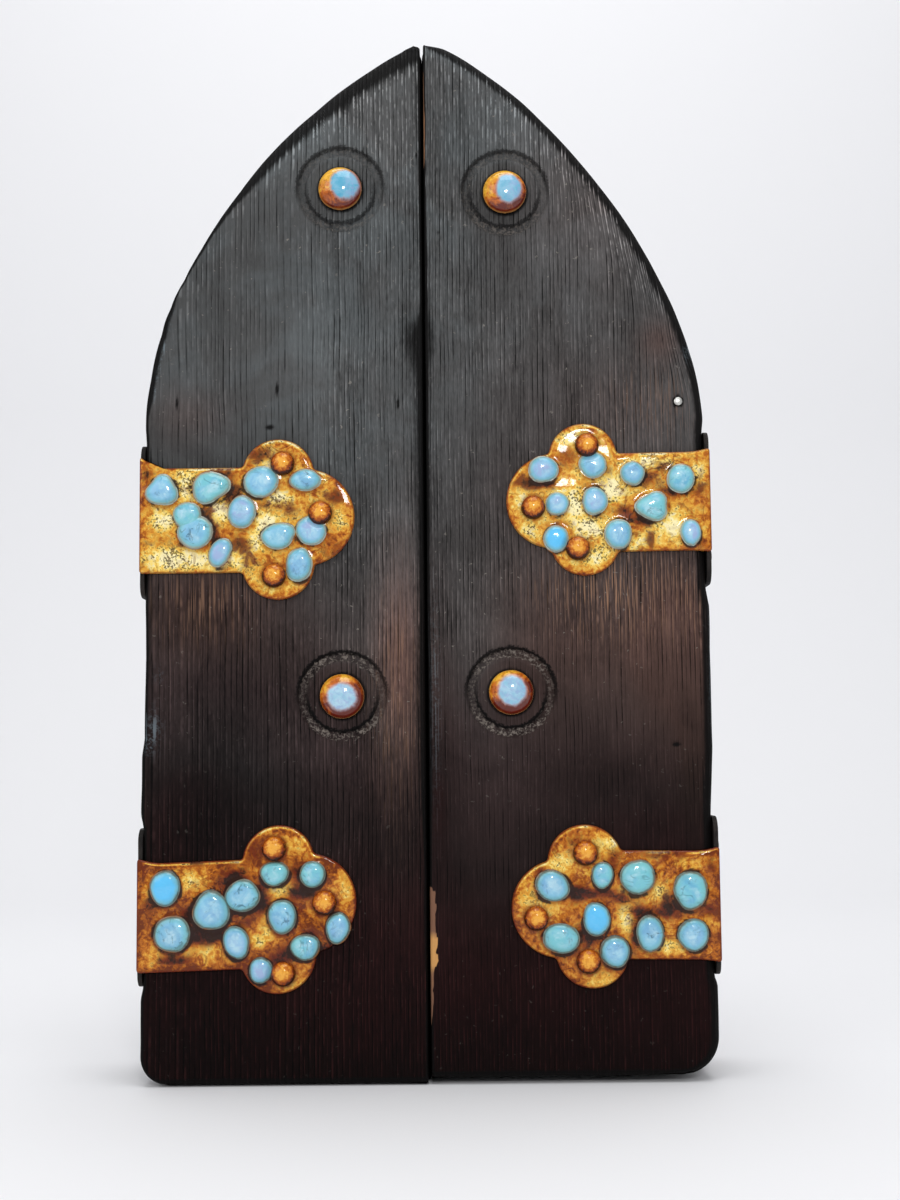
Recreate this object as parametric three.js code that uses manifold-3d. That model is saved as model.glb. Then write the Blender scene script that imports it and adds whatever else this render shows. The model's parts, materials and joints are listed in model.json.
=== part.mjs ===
// Enamel icon triptych: a scorched pine panel with a pointed arch, and half arch doors on leather hinges.
// Millimetres, +Z up, front towards -Y. The origin is the middle of the panel's foot.
// Pieces are drawn as seen from the front: x to the right, y up and z towards the viewer.

import * as THREE from 'three';
import { mergeVertices } from 'three/addons/utils/BufferGeometryUtils.js';
import Module from 'manifold-3d';

const wasm = await Module();
wasm.setup();

// Boards
const boardWidth = 200;
const boardHeight = 374; // foot to the tip, before the tip is rounded
const springHeight = 230; // where the straight sides turn into the arch
const archShoulder = 48.8; // how far the sides' direction carries on above the spring
const archLean = 55.3; // the tip's slope: run
const archDip = 22.6; // the tip's slope: fall
const tipRound = 7;
const footRadius = 11; // outer foot corners
const edgeRound = 2;
const panelThickness = 32;
const doorThickness = 20;
const doorGap = 1; // between a shut door and the panel
const seamGap = 1.8; // between the shut doors
const leftFootGap = 0.6; // each door hangs clear of the floor
const rightFootGap = 2.4;

// Niche in the panel
const nicheInset = 20;
const nicheFoot = 24;
const nicheDepth = 10;
const nicheCorner = 4;

// Fits
const seatGap = 0.3; // between a piece and what it lies on
const holeClearance = 0.3; // round a shank, and past its end

// Straps: heights are of the middle of the band, the upper pair's below the spring
const strapThickness = 1.2;
const strapBand = 37.6;
const strapUnit = strapBand / 37.6; // the straps' table was measured on a band of this height
const upperLeftStrap = 31.8;
const upperRightStrap = 26.8;
const lowerLeftStrap = 59.6;
const lowerRightStrap = 61.7;
const strapOverhang = 2; // past the board's side, over the leather's edge
const strapLobe = 12.8; // radius of the upper and lower lobes
const strapTip = 17.2; // radius of the end lobe
const dropHeight = 2.4;
const dropSink = 0.5; // how deep a drop melts into the plate
const dropFoot = 0.3; // share of its height that stands straight

// Nails through the straps
const nailHead = 4.3;
const nailRise = 3.2;
const nailShank = 1.1;
const nailDepth = 9; // in the door

// Studs and the ring grooves round them
const studHead = 7.9;
const studRise = 5.2;
const studShank = 1.6;
const studDepth = 10;
const studFromSeam = 29;
const upperLeftStud = 54.7; // the upper pair's heights are below the tip
const upperRightStud = 56.6;
const lowerLeftStud = 135;
const lowerRightStud = 135.8;
const ringInner = 12.4;
const ringOuter = 15.8;
const ringDepth = 1.6;

// Leather hinges and their tacks
const leatherThickness = 1.8;
const upperLeftLeather = 31.3; // heights of the strips' middles, as for the straps
const upperRightLeather = 28.4;
const lowerLeftLeather = 61.6;
const lowerRightLeather = 64;
const leatherHeight = 55;
const leatherBackMargin = 6; // short of the panel's back
const leatherCorner = 4;
const tackHead = 3;
const tackRise = 1;
const tackShank = 0.8;
const tackDepth = 8; // in the board
const tackSetback = 10.5; // from the hinge line
const tackSpread = 17; // above and below the middle of the strip

// Steel brad in the right door
const bradHead = 1.5;
const bradRise = 0.5;
const bradShank = 0.6;
const bradDepth = 12;
const bradFromSide = 8.8;
const bradAboveSpring = 9.7;

// Plaques of the inside
const plaqueThickness = 1.2;
const plaqueRim = 5; // width of the raised border
const plaqueRise = 1.2; // border and ornament above the plate
const plaqueCorner = 3;
const iconMargin = 14; // from the niche's wall
const crossCentre = 20; // below the spring
const crossBar = 12;
const crossUpper = 62; // lengths of the arms from the crossing to the lobes' centres
const crossLower = 104;
const crossSide = 42;
const crossLobe = 9.5;
const haloRadius = 30;
const haloWidth = 6;
const iconDrop = 6; // radius of the drops in the cross
const iconDropHeight = 1.4;
const wingHalf = 24;
const wingHeight = 150;
const wingFoot = 84;
const wingFromSeam = 42;
const wingTipRound = 1;
const stemWidth = 3;
const stemMargin = 12;
const leafLength = 9;
const leafWidth = 4.2;
const leafHeight = 1.2;
const leafPairs = 4;
const leafTilt = 40; // degrees up from level
const pinHead = 2; // plaque nails
const pinRise = 1;
const pinShank = 0.7;
const pinDepth = 5; // in the board
const pinInset = 8; // from the plaque's edge

// Roundness
const archSteps = 10; // straight runs in each curve of a board's outline
const plaqueSteps = 6;
const lobeSteps = 11; // in half a lobe
const leatherSteps = 3;
const studSides = 16;
const nailSides = 10;
const tackSides = 8;
const pinSides = 6;
const dropSides = 9;
const leafSides = 8;
const ringSides = 24;
const studSteps = 4; // rings up a dome
const domeSteps = 2;

const halfBoard = boardWidth / 2;
const archHeight = boardHeight - springHeight;
const panelBack = -panelThickness / 2;
const panelFront = panelThickness / 2;
const doorBack = panelFront + doorGap;
const doorFront = doorBack + doorThickness;
const hingeDepth = panelFront + doorGap / 2;
const nicheFloor = panelFront - nicheDepth;
const strapBack = doorFront + seatGap;
const strapFront = strapBack + strapThickness;
const leatherFront = doorFront;
const leatherBack = panelBack + leatherBackMargin;
const iconBack = nicheFloor + seatGap;
const wingFront = doorBack - seatGap; // the face against the door
const seamHalf = seamGap / 2;

// Turns about the upright axis that point a fastener's head
const toFront = 0;
const toBack = Math.PI;
const toSide = (side) => side * Math.PI / 2;

// Straps. Distances along run inwards from the board's side, distances up from the middle of the band.
// lobes: upper, end and lower centre. nails: from the upper, end and lower lobe's centre.
// drops: along, up, half length, half height. All of these are in strap units.
const straps = [
  {
    name: 'upper_left', side: -1,
    height: springHeight - upperLeftStrap, leather: springHeight - upperLeftLeather,
    lobes: [[47.5, 16.1], [57.5, 0.8], [47.5, -15.7]],
    nails: [[1.7, 4], [5.1, 1.3], [-1.4, -4.5]],
    drops: [
      [6.2, 10.6, 5.7, 5.6], [23.4, 11.8, 6.5, 6], [41.5, 13.5, 6.5, 5.7], [57.3, 14, 6, 3.9],
      [34.7, 2.8, 5.2, 6.2], [15.3, 1.6, 5.2, 5.2], [18, -4.2, 6.5, 6.5], [27, -11.7, 4.6, 5],
      [47.7, -5.9, 6.2, 5.2], [59.4, -4.2, 5.5, 5.5], [55, -16.4, 5, 6.2]
    ]
  },
  {
    name: 'upper_right', side: 1,
    height: springHeight - upperRightStrap, leather: springHeight - upperRightLeather,
    lobes: [[43.5, 16.3], [54, 0.8], [43, -13.7]],
    nails: [[-1.5, 4.3], [7.5, -2.5], [2.8, -2.8]],
    drops: [
      [57.7, 11.9, 5.5, 5], [40, 13.4, 5, 4.9], [25.8, 10.2, 4.4, 4.4], [8.7, 8.2, 5.2, 5.4],
      [52.9, -0.6, 4.1, 4.4], [39.5, 0.4, 4.5, 5.4], [18.9, -1.8, 5.9, 5.4], [31.3, -11.6, 4.9, 5.7],
      [53.5, -13, 4.5, 4.9], [5.5, -11.2, 4, 4.8]
    ]
  },
  {
    name: 'lower_left', side: -1, height: lowerLeftStrap, leather: lowerLeftLeather,
    lobes: [[47.5, 17.9], [57.5, 2.9], [47.5, -14.6]],
    nails: [[-1.4, 4.5], [6.2, 0.5], [1.8, -6.3]],
    drops: [
      [8, 9.1, 5.7, 6.4], [10.5, -6.8, 6.5, 6.6], [24.2, 1.1, 6.7, 7], [35.1, 6.1, 6.1, 5.7],
      [46.3, 13.8, 5, 4.4], [59.6, 13.3, 4.6, 4.6], [48.9, -1.2, 5.2, 6.1], [68.4, -5.2, 4.4, 5.4],
      [56.9, -11.7, 5.2, 4.6], [33, -9.9, 4.8, 5.7], [41.5, -19.5, 4, 4.4]
    ]
  },
  {
    name: 'lower_right', side: 1, height: lowerRightStrap, leather: lowerRightLeather,
    lobes: [[45, 14.3], [54, -1.7], [43, -16.2]],
    nails: [[0, 3.3], [8.5, -3], [1.5, -3.5]],
    drops: [
      [56.7, 6.5, 6, 5.7], [39.2, 10, 3.9, 4.7], [26.8, 9.2, 6.2, 6.2], [8.5, 4.5, 6, 7.1],
      [41.5, -5.2, 4.7, 6], [53.9, -11.7, 6.6, 5.5], [35.3, -16.3, 5.4, 5.6], [22.9, -10.3, 4.9, 6.6],
      [7.9, -10.9, 5.6, 5.7]
    ]
  }
];

// Studs: height of the centre, the upper pair measured down from the tip
const studs = [
  { name: 'upper_left', side: -1, height: boardHeight - upperLeftStud },
  { name: 'upper_right', side: 1, height: boardHeight - upperRightStud },
  { name: 'lower_left', side: -1, height: lowerLeftStud },
  { name: 'lower_right', side: 1, height: lowerRightStud }
];

const doors = [
  { name: 'left', side: -1, footGap: leftFootGap },
  { name: 'right', side: 1, footGap: rightFootGap }
];

// Fasteners: a domed head whose underside is at the seat, and a shank of the given length below it
const strapNail = {
  head: nailHead, rise: nailRise, shank: nailShank, length: nailDepth + strapThickness + 2 * seatGap,
  sides: nailSides, steps: domeSteps
};
const stud = {
  head: studHead, rise: studRise, shank: studShank, length: studDepth + seatGap,
  sides: studSides, steps: studSteps
};
const tack = {
  head: tackHead, rise: tackRise, shank: tackShank, length: tackDepth + leatherThickness + 2 * seatGap,
  sides: tackSides, steps: domeSteps
};
const brad = {
  head: bradHead, rise: bradRise, shank: bradShank, length: bradDepth + seatGap,
  sides: pinSides, steps: domeSteps
};
const pin = {
  head: pinHead, rise: pinRise, shank: pinShank, length: pinDepth + plaqueThickness + 2 * seatGap,
  sides: pinSides, steps: domeSteps
};

function finish(color, roughness, metalness) {
  return new THREE.MeshStandardMaterial({ color, roughness, metalness });
}

const scorchedPine = finish(0x2b231f, 0.6, 0);
const amberEnamel = finish(0xb8802a, 0.2, 0.3);
const copperNail = finish(0xa4601c, 0.3, 0.7);
const studEnamel = finish(0xb5621d, 0.15, 0.2);
const blackLeather = finish(0x17120f, 0.7, 0);
const darkIron = finish(0x2a2624, 0.55, 0.8);
const greySteel = finish(0x8b8d90, 0.35, 0.9);
const icon = finish(0xa9762c, 0.2, 0.3);

// Geometry to a solid that can be joined and cut
function solidOf(geometry) {
  geometry.deleteAttribute('normal');
  geometry.deleteAttribute('uv');
  const merged = mergeVertices(geometry);
  const corners = merged.index.array;
  const kept = [];
  for (let i = 0; i < corners.length; i += 3) {
    const [a, b, c] = corners.slice(i, i + 3);
    if (a !== b && b !== c && c !== a) kept.push(a, b, c);
  }
  const vertProperties = merged.attributes.position.array;
  return new wasm.Manifold(new wasm.Mesh({ numProp: 3, vertProperties, triVerts: Uint32Array.from(kept) }));
}

function geometryOf(solid) {
  const { vertProperties, triVerts } = solid.getMesh();
  const geometry = new THREE.BufferGeometry();
  geometry.setAttribute('position', new THREE.BufferAttribute(vertProperties, 3));
  geometry.setIndex(new THREE.BufferAttribute(triVerts, 1));
  geometry.computeVertexNormals();
  return geometry;
}

const join = (solids) => solids.reduce((whole, piece) => whole.add(piece));
const cut = (solid, tools) => tools.reduce((left, tool) => left.subtract(tool), solid);

// A solid turned about the z axis from [radius, height] pairs
function turned(profile, sides) {
  const points = profile.map(([radius, height]) => new THREE.Vector2(radius, height));
  return new THREE.LatheGeometry(points, sides).rotateX(Math.PI / 2);
}

function cylinder(radius, from, to, sides) {
  return turned([[0, from], [radius, from], [radius, to], [0, to]], sides);
}

// Points of a dome of the given radius and rise over a base height, from the rim to the top
function domeProfile(radius, base, rise, steps = domeSteps) {
  const points = [];
  for (let step = 0; step < steps; step += 1) {
    const angle = step / steps * Math.PI / 2;
    points.push([radius * Math.cos(angle), base + rise * Math.sin(angle)]);
  }
  return [...points, [0, base + rise]];
}

const placed = (geometry, turn, at) => solidOf(geometry.rotateY(turn).translate(...at));

function fastenerSolid({ kind, turn, at }) {
  const shaft = [[0, -kind.length], [kind.shank, -kind.length], [kind.shank, 0]];
  const dome = domeProfile(kind.head, 0, kind.rise, kind.steps);
  return placed(turned([...shaft, ...dome], kind.sides), turn, at);
}

// The hole that a fastener's shank needs
function shankHole({ kind, turn, at }) {
  const bottom = -kind.length - holeClearance;
  return placed(cylinder(kind.shank + holeClearance, bottom, seatGap, kind.sides), turn, at);
}

// The room that a fastener's head needs above its seat
function headRoom({ kind, turn, at }) {
  return placed(cylinder(kind.head + holeClearance, 0, kind.rise + dropHeight, kind.sides), turn, at);
}

// A flat plate between two depths
function plate(shape, from, to, steps) {
  const options = { depth: to - from, bevelEnabled: false, curveSegments: steps };
  return solidOf(new THREE.ExtrudeGeometry(shape, options).translate(0, 0, from));
}

// A board with rounded edges between two depths
function board(shape, from, to) {
  const geometry = new THREE.ExtrudeGeometry(shape, {
    depth: to - from - 2 * edgeRound,
    bevelThickness: edgeRound,
    bevelSize: edgeRound,
    bevelOffset: -edgeRound,
    bevelSegments: 1,
    curveSegments: archSteps
  });
  return solidOf(geometry.translate(0, 0, from + edgeRound));
}

function rectangle(left, right, bottom, top) {
  const corners = [[left, bottom], [right, bottom], [right, top], [left, top]];
  return new THREE.Shape(corners.map(([x, y]) => new THREE.Vector2(x, y)));
}

function disc(x, y, radius) {
  return new THREE.Shape().absarc(x, y, radius, 0, 2 * Math.PI);
}

// A pointed arch about the line x = centre, with the board's own curve drawn to its half width
function archShape({ centre, half, foot, tip, corner, round }) {
  const share = half / halfBoard;
  const spring = tip - archHeight * share;
  const lean = archLean * share;
  const dip = archDip * share;
  const shoulder = spring + archShoulder * share;
  const shape = new THREE.Shape();
  shape.moveTo(centre + half - corner, foot);
  shape.quadraticCurveTo(centre + half, foot, centre + half, foot + corner);
  shape.lineTo(centre + half, spring);
  shape.bezierCurveTo(
    centre + half, shoulder, centre + lean, tip - dip, centre + round, tip - round * dip / lean);
  shape.quadraticCurveTo(centre, tip, centre - round, tip - round * dip / lean);
  shape.bezierCurveTo(centre - lean, tip - dip, centre - half, shoulder, centre - half, spring);
  shape.lineTo(centre - half, foot + corner);
  shape.quadraticCurveTo(centre - half, foot, centre - half + corner, foot);
  return shape;
}

// The arch that keeps the same distance inside the board's sides and tip
function insetArch(inset, foot, corner) {
  const tip = boardHeight - inset * Math.hypot(archLean, archDip) / archLean;
  return archShape({ centre: 0, half: halfBoard - inset, foot, tip, corner, round: tipRound });
}

// Half of the board's arch, from the seam to the side
function doorShape({ side, footGap }) {
  const shape = new THREE.Shape();
  shape.moveTo(side * seamHalf, footGap);
  shape.lineTo(side * (halfBoard - footRadius), footGap);
  shape.quadraticCurveTo(side * halfBoard, footGap, side * halfBoard, footGap + footRadius);
  shape.lineTo(side * halfBoard, springHeight);
  shape.bezierCurveTo(
    side * halfBoard, springHeight + archShoulder,
    side * (seamHalf + archLean), boardHeight - archDip,
    side * (seamHalf + tipRound), boardHeight - tipRound * archDip / archLean);
  shape.quadraticCurveTo(side * seamHalf, boardHeight, side * seamHalf, boardHeight - tipRound);
  return shape;
}

// A drop of glass: a low dome on a straight foot, sunk into what it lies on
function drop([x, y, halfLength, halfHeight], base, rise, turn = 0) {
  const profile = [[0, -dropSink], [1, -dropSink], ...domeProfile(1, dropFoot * rise, (1 - dropFoot) * rise)];
  const geometry = turned(profile, dropSides).scale(halfLength, halfHeight, 1).rotateZ(turn);
  return solidOf(geometry.translate(x, y, base));
}

function strapSolid({ side, height, lobes, drops }, nails) {
  const fromSide = (along) => side * (halfBoard - along * strapUnit);
  const [upper, end, lower] = lobes;
  const reach = Math.min(upper[0], lower[0]);
  const ends = [side * (halfBoard + strapOverhang), fromSide(reach)].sort((a, b) => a - b);
  const band = rectangle(...ends, height - strapBand / 2, height + strapBand / 2);
  const lobe = ([along, up], radius) => disc(fromSide(along), height + up * strapUnit, radius);
  const shapes = [band, lobe(upper, strapLobe), lobe(end, strapTip), lobe(lower, strapLobe)];
  const sheet = join(shapes.map((shape) => plate(shape, strapBack, strapFront, lobeSteps)));
  const beads = drops.map(([along, up, ...halves]) => {
    const sizes = halves.map((half) => half * strapUnit);
    return drop([fromSide(along), height + up * strapUnit, ...sizes], strapFront, dropHeight);
  });
  return cut(join([sheet, ...beads]), nails.flatMap((nail) => [headRoom(nail), shankHole(nail)]));
}

function strapNails({ name, side, height, lobes, nails }) {
  return nails.map(([along, up], i) => ({
    name: `strap_nail_${name}_${i + 1}`,
    kind: strapNail,
    turn: toFront,
    at: [
      side * (halfBoard - (lobes[i][0] + along) * strapUnit),
      height + (lobes[i][1] + up) * strapUnit,
      strapFront + seatGap
    ]
  }));
}

// A strip on the boards' sides, drawn flat and then stood against the side
function leatherSolid({ side, leather }, tacks) {
  const shape = new THREE.Shape();
  const top = leatherHeight / 2;
  const corner = leatherCorner;
  shape.moveTo(leatherBack + corner, -top);
  shape.lineTo(leatherFront - corner, -top);
  shape.quadraticCurveTo(leatherFront, -top, leatherFront, -top + corner);
  shape.lineTo(leatherFront, top - corner);
  shape.quadraticCurveTo(leatherFront, top, leatherFront - corner, top);
  shape.lineTo(leatherBack + corner, top);
  shape.quadraticCurveTo(leatherBack, top, leatherBack, top - corner);
  shape.lineTo(leatherBack, -top + corner);
  shape.quadraticCurveTo(leatherBack, -top, leatherBack + corner, -top);
  const options = { depth: leatherThickness, bevelEnabled: false, curveSegments: leatherSteps };
  const geometry = new THREE.ExtrudeGeometry(shape, options);
  geometry.translate(0, leather, -leatherThickness / 2).rotateY(-Math.PI / 2);
  geometry.translate(side * (halfBoard + seatGap + leatherThickness / 2), 0, 0);
  return cut(solidOf(geometry), tacks.map(shankHole));
}

function hingeTacks({ name, side, leather }, place, depth) {
  const x = side * (halfBoard + 2 * seatGap + leatherThickness);
  return [tackSpread, -tackSpread].map((up, i) => ({
    name: `hinge_tack_${name}_${place}_${i + 1}`, kind: tack, turn: toSide(side), at: [x, leather + up, depth]
  }));
}

function studFastener({ name, side, height }) {
  const x = side * (seamHalf + studFromSeam);
  return { name: `stud_${name}`, kind: stud, turn: toFront, at: [x, height, doorFront + seatGap] };
}

// The groove turned round a stud, wider at the face than at its floor
function ringGroove({ at: [x, y] }) {
  const slope = (ringOuter - ringInner) / 4;
  const profile = [
    [ringInner + slope, -ringDepth], [ringOuter - slope, -ringDepth], [ringOuter + slope, ringDepth],
    [ringInner - slope, ringDepth], [ringInner + slope, -ringDepth]
  ];
  return placed(turned(profile, ringSides), toFront, [x, y, doorFront]);
}

// Four nails in a plaque's corners, from its centre line, half width, foot and spring
function plaqueNails({ name, centre, half, foot, spring, turn, depth }) {
  const across = half - pinInset;
  const low = foot + pinInset;
  const places = [[-across, low], [across, low], [-across, spring], [across, spring]];
  return places.map(([x, y], i) => ({
    name: `${name}_${i + 1}`, kind: pin, turn, at: [centre + x, y, depth]
  }));
}

// A plaque with a raised border, its back at depth from and its ornament on the side that facing gives
function plaqueSolid({ outer, inner, from, facing, ornament, nails }) {
  const level = (height) => from + facing * height;
  const layer = (shape, low, high) => {
    const [back, front] = [level(low), level(high)].sort((a, b) => a - b);
    return plate(shape, back, front, plaqueSteps);
  };
  const top = plaqueThickness + plaqueRise;
  const rim = layer(outer, 0, top).subtract(layer(inner, plaqueThickness, top + plaqueRise));
  const relief = ornament((shape) => layer(shape, plaqueThickness / 2, top), level(top));
  return cut(join([rim, ...relief]), nails.flatMap((nail) => [headRoom(nail), shankHole(nail)]));
}

// A cross with round ends and a ring about the crossing
function crossRelief(raise, top) {
  const y = springHeight - crossCentre;
  const half = crossBar / 2;
  const ends = [[0, y + crossUpper], [0, y - crossLower], [-crossSide, y], [crossSide, y]];
  const halo = disc(0, y, haloRadius);
  halo.holes.push(disc(0, y, haloRadius - haloWidth));
  const arms = [
    rectangle(-half, half, y - crossLower, y + crossUpper),
    rectangle(-crossSide, crossSide, y - half, y + half)
  ];
  const lobes = ends.map(([x, height]) => disc(x, height, crossLobe));
  const beads = [...ends, [0, y]].map(([x, height]) =>
    drop([x, height, iconDrop, iconDrop], top, iconDropHeight));
  return [...[halo, ...arms, ...lobes].map(raise), ...beads];
}

// A stem with pairs of leaves, and a bud on top
function sprigRelief(centre, raise, top) {
  const bottom = wingFoot + stemMargin;
  const bud = wingFoot + wingHeight - archHeight * wingHalf / halfBoard;
  const stem = rectangle(centre - stemWidth / 2, centre + stemWidth / 2, bottom, bud);
  const leaf = (x, y, turn) => {
    const profile = [[0, -plaqueRise], [1, -plaqueRise], ...domeProfile(1, 0, leafHeight)];
    const geometry = turned(profile, leafSides);
    geometry.scale(leafLength, leafWidth, 1).rotateZ(turn).rotateY(toBack);
    return solidOf(geometry.translate(x, y, top + plaqueRise / 2));
  };
  const tilt = THREE.MathUtils.degToRad(leafTilt);
  const out = leafLength * Math.cos(tilt);
  const leaves = [leaf(centre, bud, Math.PI / 2)];
  for (let pair = 0; pair < leafPairs; pair += 1) {
    const y = bottom + (bud - bottom) * (pair + 0.5) / leafPairs;
    leaves.push(leaf(centre + out, y, -tilt), leaf(centre - out, y, tilt));
  }
  return [raise(stem), ...leaves];
}

const triptych = new THREE.Group();
triptych.name = 'enamel_icon_triptych';

// Stands the front view up: y becomes +Z and the viewer's side -Y
const upright = new THREE.Group();
upright.rotation.x = Math.PI / 2;
triptych.add(upright);

function addPiece(group, name, solid, material) {
  const mesh = new THREE.Mesh(geometryOf(solid), material);
  mesh.name = name;
  group.add(mesh);
}

const addFasteners = (group, fasteners, material) => fasteners.forEach((fastener) =>
  addPiece(group, fastener.name, fastenerSolid(fastener), material));

// Centre: panel, icon plaque and the leather hinges with the tacks that hold them to the panel
function makeCentre() {
  const centre = new THREE.Group();
  const iconInset = nicheInset + iconMargin;
  const iconFoot = nicheFoot + iconMargin;
  const iconNails = plaqueNails({
    name: 'icon_nail', centre: 0, half: halfBoard - iconInset, foot: iconFoot, spring: springHeight,
    turn: toFront, depth: iconBack + plaqueThickness + seatGap
  });
  const tacks = straps.flatMap((strap) => hingeTacks(strap, 'panel', hingeDepth - tackSetback));
  const panelShape = archShape({
    centre: 0, half: halfBoard, foot: 0, tip: boardHeight, corner: footRadius, round: tipRound
  });
  const nicheShape = insetArch(nicheInset, nicheFoot, nicheCorner);
  const niche = plate(nicheShape, nicheFloor, panelFront + nicheDepth, archSteps);
  const holes = [...iconNails, ...tacks].map(shankHole);
  const panel = cut(board(panelShape, panelBack, panelFront), [niche, ...holes]);
  addPiece(centre, 'centre_panel', panel, scorchedPine);
  const plaque = plaqueSolid({
    outer: insetArch(iconInset, iconFoot, plaqueCorner),
    inner: insetArch(iconInset + plaqueRim, iconFoot + plaqueRim, plaqueCorner),
    from: iconBack, facing: 1, ornament: crossRelief, nails: iconNails
  });
  addPiece(centre, 'icon_plaque', plaque, icon);
  addFasteners(centre, iconNails, copperNail);
  addFasteners(centre, tacks, darkIron);
  for (const strap of straps) {
    const through = [
      ...hingeTacks(strap, 'panel', hingeDepth - tackSetback),
      ...hingeTacks(strap, 'door', hingeDepth + tackSetback)
    ];
    addPiece(centre, `leather_hinge_${strap.name}`, leatherSolid(strap, through), blackLeather);
  }
  return centre;
}

// Leaf: a door with its straps, studs, wing plaque and their fasteners
function makeLeaf(door) {
  const leaf = new THREE.Group();
  const ownStraps = straps.filter(({ side }) => side === door.side);
  const ownStuds = studs.filter(({ side }) => side === door.side).map(studFastener);
  const tacks = ownStraps.flatMap((strap) => hingeTacks(strap, 'door', hingeDepth + tackSetback));
  const brads = door.side < 0 ? [] : [{
    name: 'brad', kind: brad, turn: toFront,
    at: [door.side * (halfBoard - bradFromSide), springHeight + bradAboveSpring, doorFront + seatGap]
  }];
  const wing = {
    centre: door.side * wingFromSeam, half: wingHalf, foot: wingFoot, tip: wingFoot + wingHeight
  };
  const wingNails = plaqueNails({
    name: `wing_nail_${door.name}`, ...wing, spring: wing.tip - archHeight * wingHalf / halfBoard,
    turn: toBack, depth: wingFront - plaqueThickness - seatGap
  });
  const nailSets = ownStraps.map(strapNails);
  const fasteners = [...nailSets.flat(), ...ownStuds, ...tacks, ...brads, ...wingNails];
  const blank = board(doorShape(door), doorBack, doorFront);
  const cuts = [...ownStuds.map(ringGroove), ...fasteners.map(shankHole)];
  addPiece(leaf, `${door.name}_door`, cut(blank, cuts), scorchedPine);
  ownStraps.forEach((strap, i) => {
    addPiece(leaf, `strap_${strap.name}`, strapSolid(strap, nailSets[i]), amberEnamel);
    addFasteners(leaf, nailSets[i], copperNail);
  });
  addFasteners(leaf, ownStuds, studEnamel);
  addFasteners(leaf, tacks, darkIron);
  addFasteners(leaf, brads, greySteel);
  const rimmed = { half: wingHalf - plaqueRim, foot: wingFoot + plaqueRim, tip: wing.tip - plaqueRim };
  const plaque = plaqueSolid({
    outer: archShape({ ...wing, corner: plaqueCorner, round: wingTipRound }),
    inner: archShape({ ...wing, ...rimmed, corner: plaqueCorner, round: wingTipRound }),
    from: wingFront, facing: -1, nails: wingNails,
    ornament: (raise, top) => sprigRelief(wing.centre, raise, top)
  });
  addPiece(leaf, `wing_plaque_${door.name}`, plaque, icon);
  addFasteners(leaf, wingNails, copperNail);
  return leaf;
}

upright.add(makeCentre(), ...doors.map(makeLeaf));

export default triptych;
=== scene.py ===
import json
from math import pi, radians

import bpy
import numpy as np
from mathutils import Matrix, Vector


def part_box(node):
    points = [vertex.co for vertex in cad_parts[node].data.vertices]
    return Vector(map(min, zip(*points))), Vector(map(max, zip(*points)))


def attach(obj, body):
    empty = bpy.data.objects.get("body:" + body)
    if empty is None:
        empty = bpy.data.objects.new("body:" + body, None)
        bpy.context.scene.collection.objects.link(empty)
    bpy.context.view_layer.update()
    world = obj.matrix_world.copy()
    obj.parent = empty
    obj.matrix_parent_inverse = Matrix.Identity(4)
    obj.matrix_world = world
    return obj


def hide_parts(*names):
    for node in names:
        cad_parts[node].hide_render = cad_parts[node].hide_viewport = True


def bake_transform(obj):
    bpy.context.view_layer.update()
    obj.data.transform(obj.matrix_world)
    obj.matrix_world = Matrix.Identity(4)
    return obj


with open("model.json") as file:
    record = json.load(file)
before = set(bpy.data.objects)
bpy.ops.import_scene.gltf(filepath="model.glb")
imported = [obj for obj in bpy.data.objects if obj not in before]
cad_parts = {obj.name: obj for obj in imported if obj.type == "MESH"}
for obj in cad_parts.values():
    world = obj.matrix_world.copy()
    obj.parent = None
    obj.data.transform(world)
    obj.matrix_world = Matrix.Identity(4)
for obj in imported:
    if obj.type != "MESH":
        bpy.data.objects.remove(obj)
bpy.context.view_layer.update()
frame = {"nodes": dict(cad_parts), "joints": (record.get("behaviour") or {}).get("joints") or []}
print("frame loaded, nodes:", len(frame["nodes"]))

# Sizes are in millimetres, seen from the front: x to the right, z up, and -y towards the viewer
mm = 0.001


def spanOf(node):
    # the two corners of a node's box
    low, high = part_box(node)
    return np.array(low) / mm, np.array(high) / mm


def linear(value):
    # a screen value of 0 to 255 as the amount of light that it stands for
    c = np.asarray(value) / 255
    return np.where(c < 0.04045, c / 12.92, ((c + 0.055) / 1.055) ** 2.4)


def colour(red, green, blue):
    # a screen colour as light, with full alpha
    return (*linear([red, green, blue]).tolist(), 1.0)


def smoothStep(value, low, high):
    # three t squared less two t cubed, where t runs from 0 to 1 between low and high, either way up
    t = np.clip((value - low) / (high - low), 0, 1)
    return t * t * (3 - 2 * t)


def within(value, start, full, fade, end):
    # 0 up to the start, 1 from full to fade, and 0 again from the end on
    return smoothStep(value, start, full) * (1 - smoothStep(value, fade, end))


def softNoise(a, b, cell, seed):
    # random heights of a square lattice, eased between its points: 0 to 1
    lattice = np.random.default_rng(seed).random((256, 256))
    p, q = np.asarray(a) / cell + 97.3, np.asarray(b) / cell + 61.7
    i, j = np.floor(p).astype(int), np.floor(q).astype(int)
    s, t = p - i, q - j
    s, t = s * s * (3 - 2 * s), t * t * (3 - 2 * t)
    i, j, k, l = i % 256, j % 256, (i + 1) % 256, (j + 1) % 256
    low = lattice[i, j] * (1 - s) + lattice[k, j] * s
    high = lattice[i, l] * (1 - s) + lattice[k, l] * s
    return low * (1 - t) + high * t


def spots(x, z, places):
    # soft round patches: each is x, z, half width, half height, amount
    return sum(amount * np.exp(-((x - px) / halfX) ** 2 - ((z - pz) / halfZ) ** 2)
               for px, pz, halfX, halfZ, amount in places)


# Surfaces

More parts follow.
